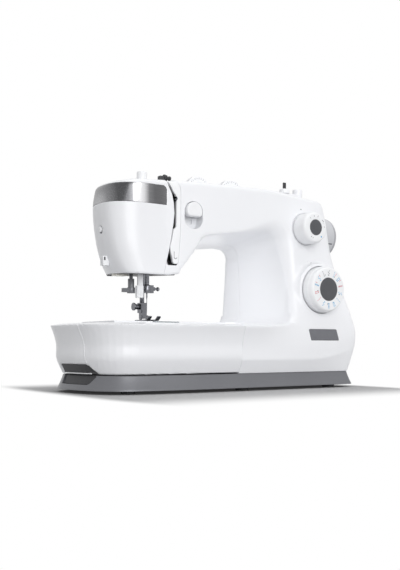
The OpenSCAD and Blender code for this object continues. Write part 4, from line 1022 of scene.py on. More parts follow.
LENGTH_AT, LENGTH_WELL, PATTERN_WELL, SHAFT_HOLE = (116.0, 215.0), 22.2, 32.2, 4.05
LEVER_AT, LEVER_WELL, PIVOT = (-50.2, 222.0), 12.5, (10.0, 222.0)
lever_oval = np.concatenate([arc((LEVER_AT[0], LEVER_AT[1] + 5), LEVER_WELL, 0, 180, 32),
                             arc((LEVER_AT[0], LEVER_AT[1] - 5), LEVER_WELL, 180, 360, 32)])
away = lever_oval - np.array(LEVER_AT)
reach = np.minimum(5.0 / np.maximum(np.abs(away[:, 0]), 1e-6),
                   np.where(away[:, 1] > 0, 12.0, 10.0) / np.maximum(np.abs(away[:, 1]), 1e-6))
lever_slot = np.array(LEVER_AT) + away * reach[:, None]
wells = [well(circle(*LENGTH_AT, LENGTH_WELL), circle(*LENGTH_AT, SHAFT_HOLE), -56.5, WALL),
         well(circle(*PATTERN_AT, PATTERN_WELL), circle(*PATTERN_AT, SHAFT_HOLE), -65.5, WALL),
         well(lever_oval, lever_slot, -21.4, 1.4, lip=1.6)]

# %% [markdown]
# ## Front cover
# The cover is cut for everything that reaches through it: two dials, the reverse lever, two
# thumbwheels on top, the main shaft on the right and the power inlet. A small turret on top carries
# the bobbin winder and its stop.

# %% Front cover
NAME_PLATE = np.array([(108.7, 64.2), (159.4, 64.2), (155.4, 79.3), (105.1, 79.3)])
WHEEL_Y0, WHEEL_Y1, THUMB_SLOT = -16.8, -6.2, 19.6
TENSION_X, WIDTH_X = -30.0, 23.0
SHAFT_Y, SHAFT_Z = 6.0, 216.0
WINDER_AT, STOP_AT = (118, -12), (142, -12)
INLET_HOLE = ((150, -52, 54), (230, 4, 78))


def outside_shaft(x, y, z):
    return np.where(x < 120, -5.0, 6.5 - np.sqrt((y - SHAFT_Y)**2 + (z - SHAFT_Z)**2))


for cutter in (outside_circle(*LENGTH_AT, LENGTH_WELL), outside_circle(*PATTERN_AT, PATTERN_WELL),
               outside_outline(lever_oval, 0.0), outside_outline(NAME_PLATE, 0.1), outside_shaft,
               outside_box(*INLET_HOLE),
               *[outside_box((x - THUMB_SLOT, WHEEL_Y0, 245), (x + THUMB_SLOT, WHEEL_Y1, 290))
                 for x in (TENSION_X, WIDTH_X)]):
    front_skin = keep_where(front_skin, cutter)


def turret_field(x, y, z):
    foot = box_field(x, y, z, (110.2, -19, 255), (142, -5, 270), 1.6)
    post = both(np.hypot(x - STOP_AT[0], y - STOP_AT[1]) - 7, np.abs(z - 266) - 12, 1.4)
    hole = both(np.hypot(x - WINDER_AT[0], y - WINDER_AT[1]) - 2.6, np.abs(z - 270) - 9, 0)
    return less(either(foot, post, 1.5), hole, 0.4)


def boss_field(x, y, z):
    """The boss inside, that the reverse lever turns on."""
    away = np.sqrt((x - PIVOT[0])**2 + (z - PIVOT[1])**2)
    return less(both(away - 5, np.abs(y + 30) - 10, 0.5), both(away - 2.05, y, 0), 0.0)


def end_panel(edge, back):
    """The end wall of the body on one side of the free arm."""
    z = np.linspace(WAIST_Z + 0.2, BED_Z - 1.6, 26)
    near = np.full(z.shape, edge)
    far_out = np.full(z.shape, 100.0 if back else -100.0)
    for _ in range(30):
        middle = (near + far_out) / 2
        inside = body_field(-4.7, middle, z) < -1.2
        near = np.where(inside, middle, near)
        far_out = np.where(inside, far_out, middle)
    count = len(z)
    points, faces = [], []
    for x in (SEAM_X + 0.1, SEAM_X + 2.6):
        for y in (np.full(z.shape, edge), near):
            points.append(np.stack([np.full(z.shape, x), y, z], 1))
    a, b, c, d = (k * count for k in range(4))
    for i in range(count - 1):
        faces += [(a + i, a + i + 1, b + i + 1, b + i), (c + i, d + i, d + i + 1, c + i + 1),
                  (a + i, c + i, c + i + 1, a + i + 1), (b + i, b + i + 1, d + i + 1, d + i)]
    last = count - 1
    faces += [(a, b, d, c), (a + last, c + last, d + last, b + last)]
    if not back:
        faces = [tuple(reversed(f)) for f in faces]
    return np.concatenate(points), faces


turret = mesh_field(turret_field, (107, -22, 251), (152, -2, 281), 1.2)
boss = mesh_field(boss_field, (3, -43, 215), (17, -18, 229), 0.9)
piece(
    "front_cover_skin",
    merged(shell(front_skin, with_collar, WALL), *wells, turret, boss, end_panel(ARM_FRONT, False)),
    cover_white, "machine", ("front_cover",))

# %% [markdown]
# ## Rear cover
# The back has a well in its top for a reel of thread that lies on its side, two pairs of ears for
# the carrying handle, and sunk screws. The hole on the left is for the presser foot's lever.

# %% Rear cover
CUP_R = 3.9
REAR_SCREWS = [(-112, 165, 72), (-112, 250, 70), (110, 245, 71), (118, 40, 85.5)]
REEL_WELL = ((-32, 40.5, 240), (76, 68, 300))
LIFTER_HOLE = (-84, 165, 3.2)
SPOOL_PIN, HINGE = (54, 256), (79, 254)


def outside_holes(x, y, z):
    away = -1e9
    for at_x, at_z, radius in [(*s[:2], CUP_R) for s in REAR_SCREWS] + [LIFTER_HOLE]:
        away = np.maximum(away, radius - np.sqrt((x - at_x)**2 + (z - at_z)**2))
    return np.where(y < 60, -5.0, away)


def screw_cup(at_x, at_z, surface):
    """A sunk seat for one screw."""
    floor = surface - 6.0
    outer, inner, hole = (circle(at_x, at_z, r, 32) for r in (5.5, CUP_R, 1.85))
    rim = surface - 0.9
    made = rings(at_depth(inner, rim), at_depth(inner, floor), at_depth(hole, floor),
                 at_depth(hole, floor - 2.5), at_depth(outer, floor - 2.5), at_depth(outer, rim))
    return made[0], [tuple(reversed(f)) for f in made[1]]


def reel_well_field(x, y, z):
    low, high = REEL_WELL
    outer = box_field(x, y, z, np.subtract(low, (2, 2, 2)), np.add(high, (2, 2, 0)), 2.5)
    inner = box_field(x, y, z, low, high, 3.0)
    under = body_field(x, y, z) + 1.0
    wall = less(np.maximum(outer, under), inner, 0.6)
    pin_hole = both(np.sqrt((y - SPOOL_PIN[0])**2 + (z - SPOOL_PIN[1])**2) - 2.6, 60 - x, 0)
    return less(wall, pin_hole, 0.2)


def ears_field(x, y, z):
    best = 1e9
    for left in (-45, -34, 92, 103):
        slab = np.abs(x - left - 2) - 2
        bar = np.maximum(np.abs(y - 73) - 6, np.abs(z - 253) - 5)
        knob = np.sqrt((y - HINGE[0])**2 + (z - HINGE[1])**2) - 4
        best = np.minimum(best, both(either(bar, knob, 1.0), slab, 0.6))
    return less(best, np.sqrt((y - HINGE[0])**2 + (z - HINGE[1])**2) - 1.55, 0.2)


rear_skin = keep_where(rear_skin, outside_holes)
rear_skin = keep_where(rear_skin, outside_box(*REEL_WELL))
ears = mesh_field(ears_field, (-48, 64, 245), (110, 86, 261), 1.0)
reel_well = mesh_field(reel_well_field, (-38, 34, 234), (82, 74, 269), 1.6)
piece(
    "rear_cover_skin",
    merged(shell(rear_skin, body_field, WALL), reel_well, ears, end_panel(ARM_BACK, True),
           *[screw_cup(*s) for s in REAR_SCREWS]),
    cover_white, "machine", ("rear_cover",))

# %% [markdown]
# ## Face plate
# The plate closes the head on the left. A band of brushed chrome is let into it, a screw sits in
# a small seat, and the presser foot's pressure dial comes up through its top.

# %% Face plate and its band
BAND_Z0, BAND_Z1, BAND_X, BAND_T = 232.0, 256.0, -87.0, 1.2
FACE_SCREW, FACE_HOLE, PRESSURE_AT = (10.0, 200.0), 4.9, (-95.6, 18)


def band_outline(x, z):
    """Outside the band, as seen from the front. Its free corner on the right is round."""
    return both(both(x - BAND_X, z - BAND_Z1, 5.0), BAND_Z0 - z, 0.6)


def outside_face_screw(x, y, z):
    away = FACE_HOLE - np.sqrt((y - FACE_SCREW[0])**2 + (z - FACE_SCREW[1])**2)
    return np.where(x > -130, -5.0, away)


def outside_pressure(x, y, z):
    away = 4.0 - np.sqrt((x - PRESSURE_AT[0])**2 + (y - PRESSURE_AT[1])**2)
    return np.where(z < 250, -5.0, away)


face_skin = keep_where(face_skin, outside_face_screw)
face_skin = keep_where(face_skin, outside_pressure)
band_skin = keep_where(face_skin, lambda x, y, z: band_outline(x, z) + 0.1)
bed_points, bed_faces = keep_where(face_skin, lambda x, y, z: band_outline(x, z) - 1.2)
band_bed = bed_points - normals_of(body_field, bed_points) * (BAND_T + 0.1), bed_faces
around = keep_where(face_skin, lambda x, y, z: -band_outline(x, z))
piece(
    "face_plate_skin",
    merged(shell(around, body_field, WALL), shell(band_bed, body_field, 1.2)),
    cover_white, "machine", ("face_plate",))
piece("face_band_skin", shell(band_skin, body_field, BAND_T, 0.2), band_chrome, "machine",
      ("face_band",))

# %% [markdown]
# ## Thread channel and name plate
# The channel strip guides the thread past the take-up lever. Dark blocks close the slot beside it,
# as painted shade for its inside. A catch is cut in it, with a grey fill as painted shade in the
# cut.
# A plain grey plate is let into the cover below the large dial.

# %% Thread channel, slot and name plate
CATCH_X, CATCH_Z, CATCH_R = -75.4, 167.6, 1.9


def outside_catch(x, y, z):
    """Outside a hook: half a ring that is open above, with a stem on its left."""
    hook = np.abs(np.sqrt((x - CATCH_X)**2 + (z - CATCH_Z)**2) - CATCH_R) - 0.3
    stem = np.maximum(np.abs(x - CATCH_X + CATCH_R) - 0.3, np.abs(z - CATCH_Z - 3.5) - 3.6)
    return -np.minimum(np.maximum(hook, z - CATCH_Z), stem)


channel_skin = keep_where(channel_skin, outside_catch)


# A grey layer just under the skin in the catch's cut: painted shade in the groove.
def catch_shade_field(x, y, z):
    return np.maximum(-outside_catch(x, y, z) - 0.05, np.abs(body_field(x, y, z) + 0.05) - 0.2)


piece("thread_catch_shade", mesh_field(catch_shade_field, (-79.5, -34, 163.5), (-72, -22, 176), 0.3),
      plate_grey, "machine")
piece("thread_channel_skin", shell(channel_skin, body_field, 5.0), dial_white, "machine",
      ("thread_channel",))

# Dark blocks that close the slot: painted shade for the inside behind the slit.
piece(
    "thread_slot_shade",
    merged(block((-92.2, -25.6, 150), (-91.4, -3.6, 262)),
           block((-71.0, -25.6, 150), (-70.2, -17.0, 262)),
           block((-91.4, -4.4, 150), (-77.4, -3.6, 262)),
           block((-91.4, -25.6, 148.0), (-71.0, -3.6, 149.2))),
    shade_and_blade_dark, "machine")

plate_skin = keep_where(skin, inside_outline(NAME_PLATE, 0.0))
plate_skin = keep_where(plate_skin, before(-30))
piece("name_plate_face", shell(plate_skin, with_collar, 1.2, 0.4), plate_grey, "machine",
      ("name_plate",))

# %% [markdown]
# ## Accessory tray
# The tray wraps round the free arm and slides off to the left. Its walls flare out to the rim, then
# the top slopes up to the bed. It is a hollow moulding with a store under a hinged lid, and a
# dark grip is let into its left end.

# %% Outline of the bed from above
BASE_LEFT, BASE_RIGHT, BASE_FRONT, BASE_BACK, BOW_Y = -202.6, 191.6, -76.8, 88.0, 30.0
left_corner = (BASE_LEFT + 52, BASE_FRONT + 8.8)
back_corner = (BASE_LEFT + 54, BASE_BACK)
base_plan = np.concatenate([
    bezier([(BASE_LEFT, BOW_Y), (BASE_LEFT, BOW_Y - 42), (BASE_LEFT + 6.6, BASE_FRONT + 14.8),
            left_corner], 14),
    bezier([left_corner, (left_corner[0] + 30, left_corner[1] - 4.5),
            (BASE_LEFT + 123, BASE_FRONT + 0.6), (BASE_LEFT + 156, BASE_FRONT + 0.3)], 6),
    arc((BASE_RIGHT - 12, BASE_FRONT + 12), 12, -90, 0, 8),
    arc((BASE_RIGHT - 13, BASE_BACK - 13), 13, 0, 90, 8),
    bezier([back_corner, (back_corner[0] - 30, BASE_BACK), (BASE_LEFT, BASE_BACK - 28),
            (BASE_LEFT, BOW_Y)], 12)])
waist_plan = inset(base_plan, TUCK)
tray_flare = curve_through([(22, -0.2), (38.6, 7.2), (39.4, 7.5), (60, 8.6), (72, 11.6),
                            (82.4, 15.4), (88, 17)])
TRAY_TOP, TRAY_RIM, TRAY_X1, TRAY_LOW = 84.5, 82.4, -6.3, 23.5
LID = ((-140, -70.5, 82.5), (-12, -42, 84.5))
GRIP = np.array([(37, 11), (37, 35.5), (-20, 35.5), (-25, 33.6), (-34, 23), (-25, 12.4), (-21, 11)])


def tray_outer(x, y, z):
    hollow_y = -32 + 18 * smooth_step(37, 83, z)
    pinch = 0.9 * np.maximum(0, 1 - np.abs(y - hollow_y) / 26) * np.where(x < -150, 1, 0)
    side = outline_distance(x, y, waist_plan) - tray_flare(z) + pinch
    top = z - TRAY_TOP + (TRAY_TOP - TRAY_RIM) * smooth_step(-16, 0, side)
    return both(both(side, top, 1.4), TRAY_LOW - z, 0.4)


def grip_space(x, y, z):
    """The hollow for the fingers: it follows the surface, and leaves a lip at the foot."""
    shape = np.maximum(outline_distance(y, z, GRIP), np.where(y > -20.5, 24.7, 20) - z)
    return np.maximum(np.maximum(shape, x + 160), -tray_outer(x, y, np.maximum(z, 26)) - 2.6)


def tray_field(x, y, z):
    body = np.maximum(tray_outer(x, y, z), y - 85)
    arm = box_field(x, y, z, (-169.45, ARM_FRONT, -20), (40, ARM_BACK, 140))
    body = less(body, arm, 0.6)
    within = tray_outer(x, y, z) + 3.2
    store = box_field(x, y, z, (-136.8, -68, 27), (-15.2, -43, 80), 2.0)
    body = less(body, np.maximum(store, within), 0.5)
    mouth = box_field(x, y, z, (-136.8, -68, 70), (-15.2, -43, 140), 2.0)
    body = less(body, mouth, 0.5)
    lid_bed = box_field(x, y, z, (LID[0][0] - 0.3, LID[0][1] - 2.1, LID[0][2] - 0.3),
                        (LID[1][0] + 0.3, LID[1][1] + 0.3, 140))
    body = less(body, lid_bed, 0.3)
    depth_in = np.where(x < -165, 5.0, 3.2)
    sides = np.maximum(tray_outer(x, y, np.maximum(z, 26)) + depth_in, z - 76)
    end_pocket = box_field(x, y, z, (-189, -26, -20), (-170, 40, 76), 2.0)
    back_pocket = box_field(x, y, z, (-150, 52.3, -20), (-12, 74, 76), 2.0)
    body = less(body, np.maximum(np.minimum(end_pocket, back_pocket), sides), 0.3)
    return less(body, grip_space(x, y, z), 0.3)


TRAY_CELL = 1.8


def capped(mesh, limit):
    """Cuts a solid at x = limit and fills the cut."""
    made = bmesh.new()
    vertices = [made.verts.new(p) for p in mesh[0]]
    for face in mesh[1]:
        made.faces.new([vertices[i] for i in face])
    cut = bmesh.ops.bisect_plane(made, geom=[*made.verts, *made.edges, *made.faces], dist=1e-4,
                                 plane_co=(limit, 0, 0), plane_no=(1, 0, 0), clear_outer=True)
    edges = [e for e in cut["geom_cut"] if isinstance(e, bmesh.types.BMEdge)]
    bmesh.ops.triangle_fill(made, edges=edges, use_beauty=True, use_dissolve=False)
    bmesh.ops.recalc_face_normals(made, faces=made.faces)
    made.verts.index_update()
    points = np.array([v.co[:] for v in made.verts])
    faces = [tuple(v.index for v in f.verts) for f in made.faces]
    made.free()
    return points, faces

# %% Tray, lid and grip
tray_mesh = mesh_field(tray_field, (-215, -92, 18), (4, 90, 88), TRAY_CELL)
piece("tray_body", capped(tray_mesh, TRAY_X1), cover_white, "accessory_tray",
      ("accessory_tray",), sharp=40.0)


def lid_field(x, y, z):
    slab = box_field(x, y, z, LID[0], LID[1], 0.5)
    pin = both(np.sqrt((y + 70.5)**2 + (z - 83.1)**2) - 1.2, np.abs(x + 76.5) - 66.9, 0.2)
    notch = both(np.sqrt((x + 76)**2 + ((y + 42) * 0.8)**2) - 8.0, 83.5 - z, 0.3)
    return less(either(slab, pin, 0.2), notch, 0.4)


piece("tray_lid_skin", mesh_field(lid_field, (-146, -74, 80), (-6, -39, 87), 0.9), dial_white,
      "tray_lid", ("tray_lid",))


def grip_field(x, y, z):
    depth = tray_outer(x, y, np.maximum(z, 26))
    plate = np.maximum(outline_distance(y, z, GRIP), np.where(y > -20.5, 24.7, 23.5) - z) + 0.15
    return np.maximum(np.maximum(plate, x + 160), np.abs(depth + 2.0) - 0.55)


piece("tray_grip_face", mesh_field(grip_field, (-200, -38, 21), (-178, 41, 40), 0.7), grip_dark,
      "accessory_tray", ("tray_grip",))


def crease_field(x, y, z):
    """The fine raised line that runs down the tray's left end."""
    line = np.maximum(np.abs(y + 19.0 + 0.1 * (82 - z)) - 0.7, np.abs(z - 59.4) - 23.0)
    return np.maximum(line, np.abs(tray_outer(x, y, z) + 0.1) - 0.4)


def lip_field(x, y, z):
    """The thin white lip under the grip."""
    depth = np.abs(tray_outer(x, y, np.maximum(z, 26)) + 1.0) - 0.8
    lip = np.maximum(np.abs(z - 24.3) - 0.65, depth)
    return np.maximum(lip, np.abs(y - 6.5) - 30.5)


crease = mesh_field(crease_field, (-213, -27, 35), (-188, -17, 84), 0.4)
lip = mesh_field(lip_field, (-204, -25, 23), (-186, 38, 25.6), 0.4)
piece("tray_crease", merged(crease, lip), cover_white, "accessory_tray")

# %% [markdown]
# ## Base plate
# The base is a silver tray that spreads out towards the table in a hollow curve. It is lofted
# between shrinking copies of the plan, and hollowed where the body and the free arm stand in it.

# %% Base plate
FOOT_H = 4.2
FRAME_FEET = [(98, 34), (98, 46), (128, 34), (128, 46), (-145, 33)]


def hidden(mesh):
    """A throwaway object for a boolean."""
    data = bpy.data.meshes.new("cutter")
    data.from_pydata((np.asarray(mesh[0]) * MM).tolist(), [], [tuple(map(int, f)) for f in mesh[1]])
    made = bpy.data.objects.new("cutter", data)
    bpy.context.scene.collection.objects.link(made)
    return made


def carve(solid, cutters):
    """(points in mm, faces) of a solid with cutters taken out, exactly."""
    base = hidden(solid)
    tools = [hidden(c) for c in cutters]
    for tool in tools:
        step = base.modifiers.new("cut", "BOOLEAN")
        step.operation, step.object, step.solver = "DIFFERENCE", tool, "EXACT"
    shown = base.evaluated_get(bpy.context.evaluated_depsgraph_get())
    data = shown.to_mesh()
    points = np.array([v.co[:] for v in data.vertices]) / MM
    faces = [tuple(p.vertices) for p in data.polygons]
    shown.to_mesh_clear()
    for made in (base, *tools):
        old = made.data
        bpy.data.objects.remove(made)
        bpy.data.meshes.remove(old)
    return points, faces


def drum(x, y, z0, z1, radius):
    ring = circle(x, y, radius, 32)
    return loft([(ring, z0), (ring, z1)])


def grip_prism():
    """The grip's outline, drawn out along X."""
    count = len(GRIP)
    low = np.column_stack([np.full(count, -230.0), GRIP])
    high = np.column_stack([np.full(count, -185.0), GRIP])
    faces = ring_faces(0, count, count)
    faces += [tuple(range(count)), tuple(reversed(range(count, 2 * count)))]
    return np.concatenate([low, high]), faces


def foot_slope(z):
    """How far the base's side lies inside its plan at a height."""
    t = np.clip((z - FOOT_H) / (WAIST_Z - FOOT_H), 0, 1)
    return TUCK * (1 - (1 - t)**1.25)


layers = []
for z in (FOOT_H, FOOT_H + 0.5, FOOT_H + 1.2, 6.5, 8.5, 11, 14, 17.5, 20.6, 21.6, 22.0):
    round_off = 0.5 * max(0, 1 - (z - FOOT_H)) + 0.4 * max(0, (z - 21.5) / 0.5)
    layers.append((inset(base_plan, foot_slope(z) + round_off), z))
cuts = [block((-2, -65.4, 7.2), (173.9, 76.6, 40)),
        block((-166.15, -38.15, 7.25), (1.0, 48.15, 40)),
        block((-138, -60, 0), (-12, -41, 19)), block((-138, 51, 0), (-12, 74, 19)),
        grip_prism()]
for x, y in FRAME_FEET:
    cuts += [drum(x, y, 0, 40, 2.1), drum(x, y, 0, 5.6, 4.0)]


def base_grip_field(x, y, z):
    """A dark liner that fills the hollow in the base to just below the surface."""
    shape = np.maximum(outline_distance(y, z, GRIP) + 0.1, z - 21.8)
    outer = outline_distance(x, y, base_plan) + foot_slope(z)
    return np.maximum(np.maximum(shape, x + 185.1), outer + 2.0)


piece("base_grip_face", mesh_field(base_grip_field, (-202, -38, 8), (-184, 41, 24), 0.8),
      grip_dark, "machine")
piece("base_plate_skin", carve(loft(layers), cuts), base_silver, "machine",
      ("base_plate",), sharp=28.0)

# %% [markdown]
# ## Dials
# Every knob is a turned shape: a profile spun about its shaft. The profile carries the rounded
# edges that the mould gives, and the face dips a little towards the grey cap. The printed marks are
# thin raised strokes, and they turn with the dial. They are plain strokes that stand for scales.

# %% Lathe and marks
def rounded_profile(points):
    """Replaces each (along, radius, round) corner by an arc of that size."""
    made = []
    count = len(points)
    for i, (a, r, size) in enumerate(points):
        here = np.array([a, r])
        if size <= 0 or i in (0, count - 1):
            made.append(here)
            continue
        before, after = (np.array(points[k][:2]) - here for k in (i - 1, i + 1))
        spans = np.linalg.norm(before), np.linalg.norm(after)
        size = min(size, 0.45 * spans[0], 0.45 * spans[1])
        start, end = here + before / spans[0] * size, here + after / spans[1] * size
        made += [(1 - t)**2 * start + 2 * t * (1 - t) * here + t**2 * end
                 for t in np.linspace(0, 1, 5)]
    return np.array(made)


def lathe(profile, count=96):
    """Spins (along, radius) points. The first and last lie on the axis or are joined."""
    turn = np.linspace(0, 2 * np.pi, count, endpoint=False)
    points, faces, rows = [], [], []
    for a, r in profile:
        start = len(points)
        if r < 1e-6:
            points.append((a, 0.0, 0.0))
            rows.append((start, 1))
        else:
            points += [(a, r * math.cos(t), r * math.sin(t)) for t in turn]
            rows.append((start, count))
    pairs = list(zip(rows, rows[1:]))
    if rows[0][1] > 1 and rows[-1][1] > 1:
        pairs.append((rows[-1], rows[0]))
    for (s0, n0), (s1, n1) in pairs:
        for i in range(count):
            j = (i + 1) % count
            if n0 == 1 and n1 > 1:
                faces.append((s0, s1 + i, s1 + j))
            elif n1 == 1 and n0 > 1:
                faces.append((s0 + j, s0 + i, s1))
            elif n0 > 1:
                faces.append((s0 + i, s1 + i, s1 + j, s0 + j))
    return np.array(points), faces


def turned_piece(profile, axis, centre, count=96):
    """A lathe shape about X, Y or Z through centre, with its faces outwards."""
    points, faces = lathe(profile, count)
    a, u, v = points.T
    x, y, z = centre
    if axis == "X":
        placed = np.stack([a, y + u, z + v], 1)
    elif axis == "Y":
        placed = np.stack([x + v, a, z + u], 1)
    else:
        placed = np.stack([x + u, y + v, a], 1)
    volume = 0.0
    for face in faces:
        p = placed[list(face)]
        for i in range(1, len(face) - 1):
            volume += np.dot(p[0], np.cross(p[i], p[i + 1]))
    return placed, faces if volume > 0 else [tuple(reversed(f)) for f in faces]


INK_RISE, INK_SINK = 0.06, 0.5


def stroke(centre, face_y, places, wide):
    """Printed strokes on a dial's face. places are (angle from the top, radius, length, tilt)."""
    made = []
    for angle, radius, length, tilt in places:
        t = math.radians(angle)
        middle = np.array([centre[0] + radius * math.sin(t), centre[1] + radius * math.cos(t)])
        way = np.array([math.sin(t + math.radians(tilt)), math.cos(t + math.radians(tilt))])
        side = np.array([-way[1], way[0]])
        corners = [middle + way * length / 2 * a + side * wide / 2 * b
                   for a, b in ((-1, -1), (1, -1), (1, 1), (-1, 1))]
        points = np.array([(c[0], y, c[1]) for y in (face_y - INK_RISE, face_y + INK_SINK)
                           for c in corners])
        faces = [(0, 1, 2, 3), (7, 6, 5, 4)] + [(i, i + 4, (i + 1) % 4 + 4, (i + 1) % 4)
                                               for i in range(4)]
        made.append((points, faces))
    return merged(*made)


def dot(centre, face_y, radius):
    """A printed round dot on a dial's face."""
    top, foot = face_y - INK_RISE, face_y + INK_SINK
    return turned_piece([(top, 0.0), (top, radius * 0.8), (face_y, radius), (foot, radius),
                         (foot, 0.0)], "Y", (centre[0], 0, centre[1]), 24)


def dial(name, at, knob, cap, count=96):
    """A white knob with a grey cap, turned about the dial's shaft."""
    centre = (at[0], 0, at[1])
    piece(name + "_knob", turned_piece(rounded_profile(knob), "Y", centre, count), dial_white,
          name, (name,))
    piece(name + "_cap", turned_piece(rounded_profile(cap), "Y", centre), cap_grey, name)


print("lathe is ready")

# %% Stitch length dial
LENGTH_FACE, PATTERN_FACE = -79.0, -87.2
dial("length_dial", LENGTH_AT, [
    (LENGTH_FACE + 0.5, 0, 0), (LENGTH_FACE + 0.5, 9.5, 0.4), (LENGTH_FACE + 0.05, 11.6, 0.6),
    (LENGTH_FACE, 18.6, 1.5), (LENGTH_FACE + 2.6, 20.6, 2.0), (-57.5, 21.0, 0.4),
    (-57.5, 4.0, 0.3), (-42.5, 4.0, 0.5), (-42.5, 0, 0)], [
    (LENGTH_FACE - 0.8, 0, 0), (LENGTH_FACE - 0.72, 6.0, 2.0), (LENGTH_FACE - 0.45, 10.2, 0.5),
    (LENGTH_FACE + 0.3, 10.7, 0.2), (LENGTH_FACE + 0.9, 10.7, 0.1), (LENGTH_FACE + 0.9, 0, 0)])
piece("length_dial_marks", stroke(LENGTH_AT, LENGTH_FACE + 0.04, [
    (-12, 15.3, 2.2, 0), (14, 15.3, 2.2, 0), (-40, 15.3, 1.6, 0), (52, 15.6, 3.6, 78),
    (62, 14.4, 1.0, 0), (84, 15.2, 1.4, 0), (200, 15.2, 2.0, 0), (212, 15.2, 2.0, 0)], 0.62),
    mark_grey, "length_dial")
piece("length_dial_dot", dot((LENGTH_AT[0] + 9.6, LENGTH_AT[1] - 12.0), LENGTH_FACE + 0.05, 1.15),
      mark_blue, "length_dial")

# %% Pattern dial
dial("pattern_dial", PATTERN_AT, [
    (PATTERN_FACE + 0.5, 0, 0), (PATTERN_FACE + 0.5, 14.6, 0.4), (PATTERN_FACE + 0.05, 16.6, 0.6),
    (PATTERN_FACE, 27.8, 1.6), (PATTERN_FACE + 2.4, 29.8, 2.2), (PATTERN_FACE + 7.6, 30.3, 0.6),
    (PATTERN_FACE + 8.6, 31.0, 0.4), (-66.5, 31.0, 0.4), (-66.5, 4.0, 0.3), (-51.5, 4.0, 0.5),
    (-51.5, 0, 0)], [
    (PATTERN_FACE - 0.8, 0, 0), (PATTERN_FACE - 0.72, 9.0, 2.5), (PATTERN_FACE - 0.4, 15.2, 0.5),
    (PATTERN_FACE + 0.3, 15.7, 0.2), (PATTERN_FACE + 0.9, 15.7, 0.1), (PATTERN_FACE + 0.9, 0, 0)],
    128)


def stitch(angle, kind):
    """A few strokes that stand for a stitch: a row, a zigzag or a ladder."""
    if kind == "row":
        return [(angle, 19.2, 1.9, 0), (angle, 22.2, 1.9, 0), (angle, 25.2, 1.9, 0)]
    if kind == "zigzag":
        return [(angle + (1.6 if k % 2 else -1.6), 18.6 + 1.9 * k, 2.7, 52 if k % 2 else -52)
                for k in range(4)]
    if kind == "ladder":
        return [(angle, 22.0, 7.6, 0)] + [(angle, 19.0 + 2.0 * k, 2.6, 90) for k in range(4)]
    return [(angle - 3, 22.0, 6.8, 0), (angle + 3, 22.0, 6.8, 0),
            (angle, 19.4, 1.7, 90), (angle, 24.4, 1.7, 90)]


KINDS, SIGNS = ("zigzag", "ladder", "buttonhole", "row"), 14
marks = {"blue": [], "red": [], "grey": []}
for k in range(SIGNS):
    angle = 360 / SIGNS * k
    colour = "grey" if k in (0, 13) else "red" if k in (3, 9, 10) else "blue"
    marks[colour] += stitch(angle, KINDS[(k * 3) % 4])
    if k in (1, 2, 11, 12):
        marks["red"] += [(angle + 7.5, 23.8, 3.4, 0)]
    if k % 3 == 1:
        marks["grey"] += [(angle + 6, 20.0, 2.6, 0)]
for colour, finish in (("blue", mark_blue), ("red", mark_red), ("grey", mark_grey)):
    piece("pattern_marks_" + colour, stroke(PATTERN_AT, PATTERN_FACE + 0.03, marks[colour], 0.55),
          finish, "pattern_dial")

# %% [markdown]
# ## Printed dots on the cover
# A small dot on the cover shows where each dial is read.

# %% Index dots
def cover_dot(x, z, radius):
    """A disc of ink that lies on the skin."""
    centre = np.array([x, float(skin_y(x, z)), z])
    normal = normals_of(with_collar, centre[None])[0]
    side = np.cross(normal, (0, 0, 1.0))
    side /= np.linalg.norm(side)
    up = np.cross(side, normal)
    turn = np.linspace(0, 2 * np.pi, 24, endpoint=False)
    points = np.array([centre + normal * out + side * r * math.cos(t) + up * r * math.sin(t)
                       for out, r in ((-0.3, radius), (0.03, radius), (0.05, radius * 0.8))
                       for t in turn])
    return points, layer_faces(3, 24)


piece("index_dots", merged(cover_dot(112.0, 242.0, 0.85), cover_dot(122.6, 169.2, 0.95),
                           cover_dot(118.6, 171.2, 0.3)),
      mark_grey, "machine", sharp=50.0)

# %% [markdown]
# ## Thumbwheels
# The two wheels on top turn on edge in narrow slots. Their rims are ribbed for the thumb, and the
# ribs stop short of the front face, where the scale is printed.

# %% Thumbwheels
RIBS = 30
RIB_STEPS = np.linspace(0, 2 * np.pi, RIBS * 10, endpoint=False)
RIB_HOLLOW = 1 - np.clip(0.5 + 0.9 * np.cos(RIB_STEPS * RIBS), 0, 1)


def thumbwheel(x, z, name):
    """A ribbed wheel on its shaft, with the scale on its front face."""
    rings = []
    for y, radius, depth in ((-16.0, 17.6, 0.0), (-15.6, 18.4, 0.0), (-15.0, 18.9, 0.1),
                             (-14.2, 19.0, 0.7), (-8.6, 19.0, 0.7), (-7.8, 18.8, 0.3),
                             (-7.2, 18.2, 0.0), (-7.0, 17.4, 0.0)):
        r = radius - depth * RIB_HOLLOW
        rings.append((np.stack([x + r * np.sin(RIB_STEPS), z + r * np.cos(RIB_STEPS)], 1), y))
    points, faces = loft(rings)
    rim = points[:, [0, 2, 1]], [tuple(reversed(f)) for f in faces]
    shaft = rounded_profile([(-24, 0, 0), (-24, 2.5, 0.4), (-5, 2.5, 0.4), (-5, 0, 0)])
    piece(name + "_wheel", merged(rim, turned_piece(shaft, "Y", (x, 0, z), 32)), dial_white, name,
          (name,), sharp=24.0)
    ticks = [(a, 15.6, 2.2 if a % 24 == 0 else 1.4, 0) for a in range(-72, 73, 12)]
    piece(name + "_scale", stroke((x, z), -15.98, ticks, 0.5), mark_grey, name)


thumbwheel(TENSION_X, 258.0, "tension_dial")
thumbwheel(WIDTH_X, 259.5, "width_dial")
print("dials are on")
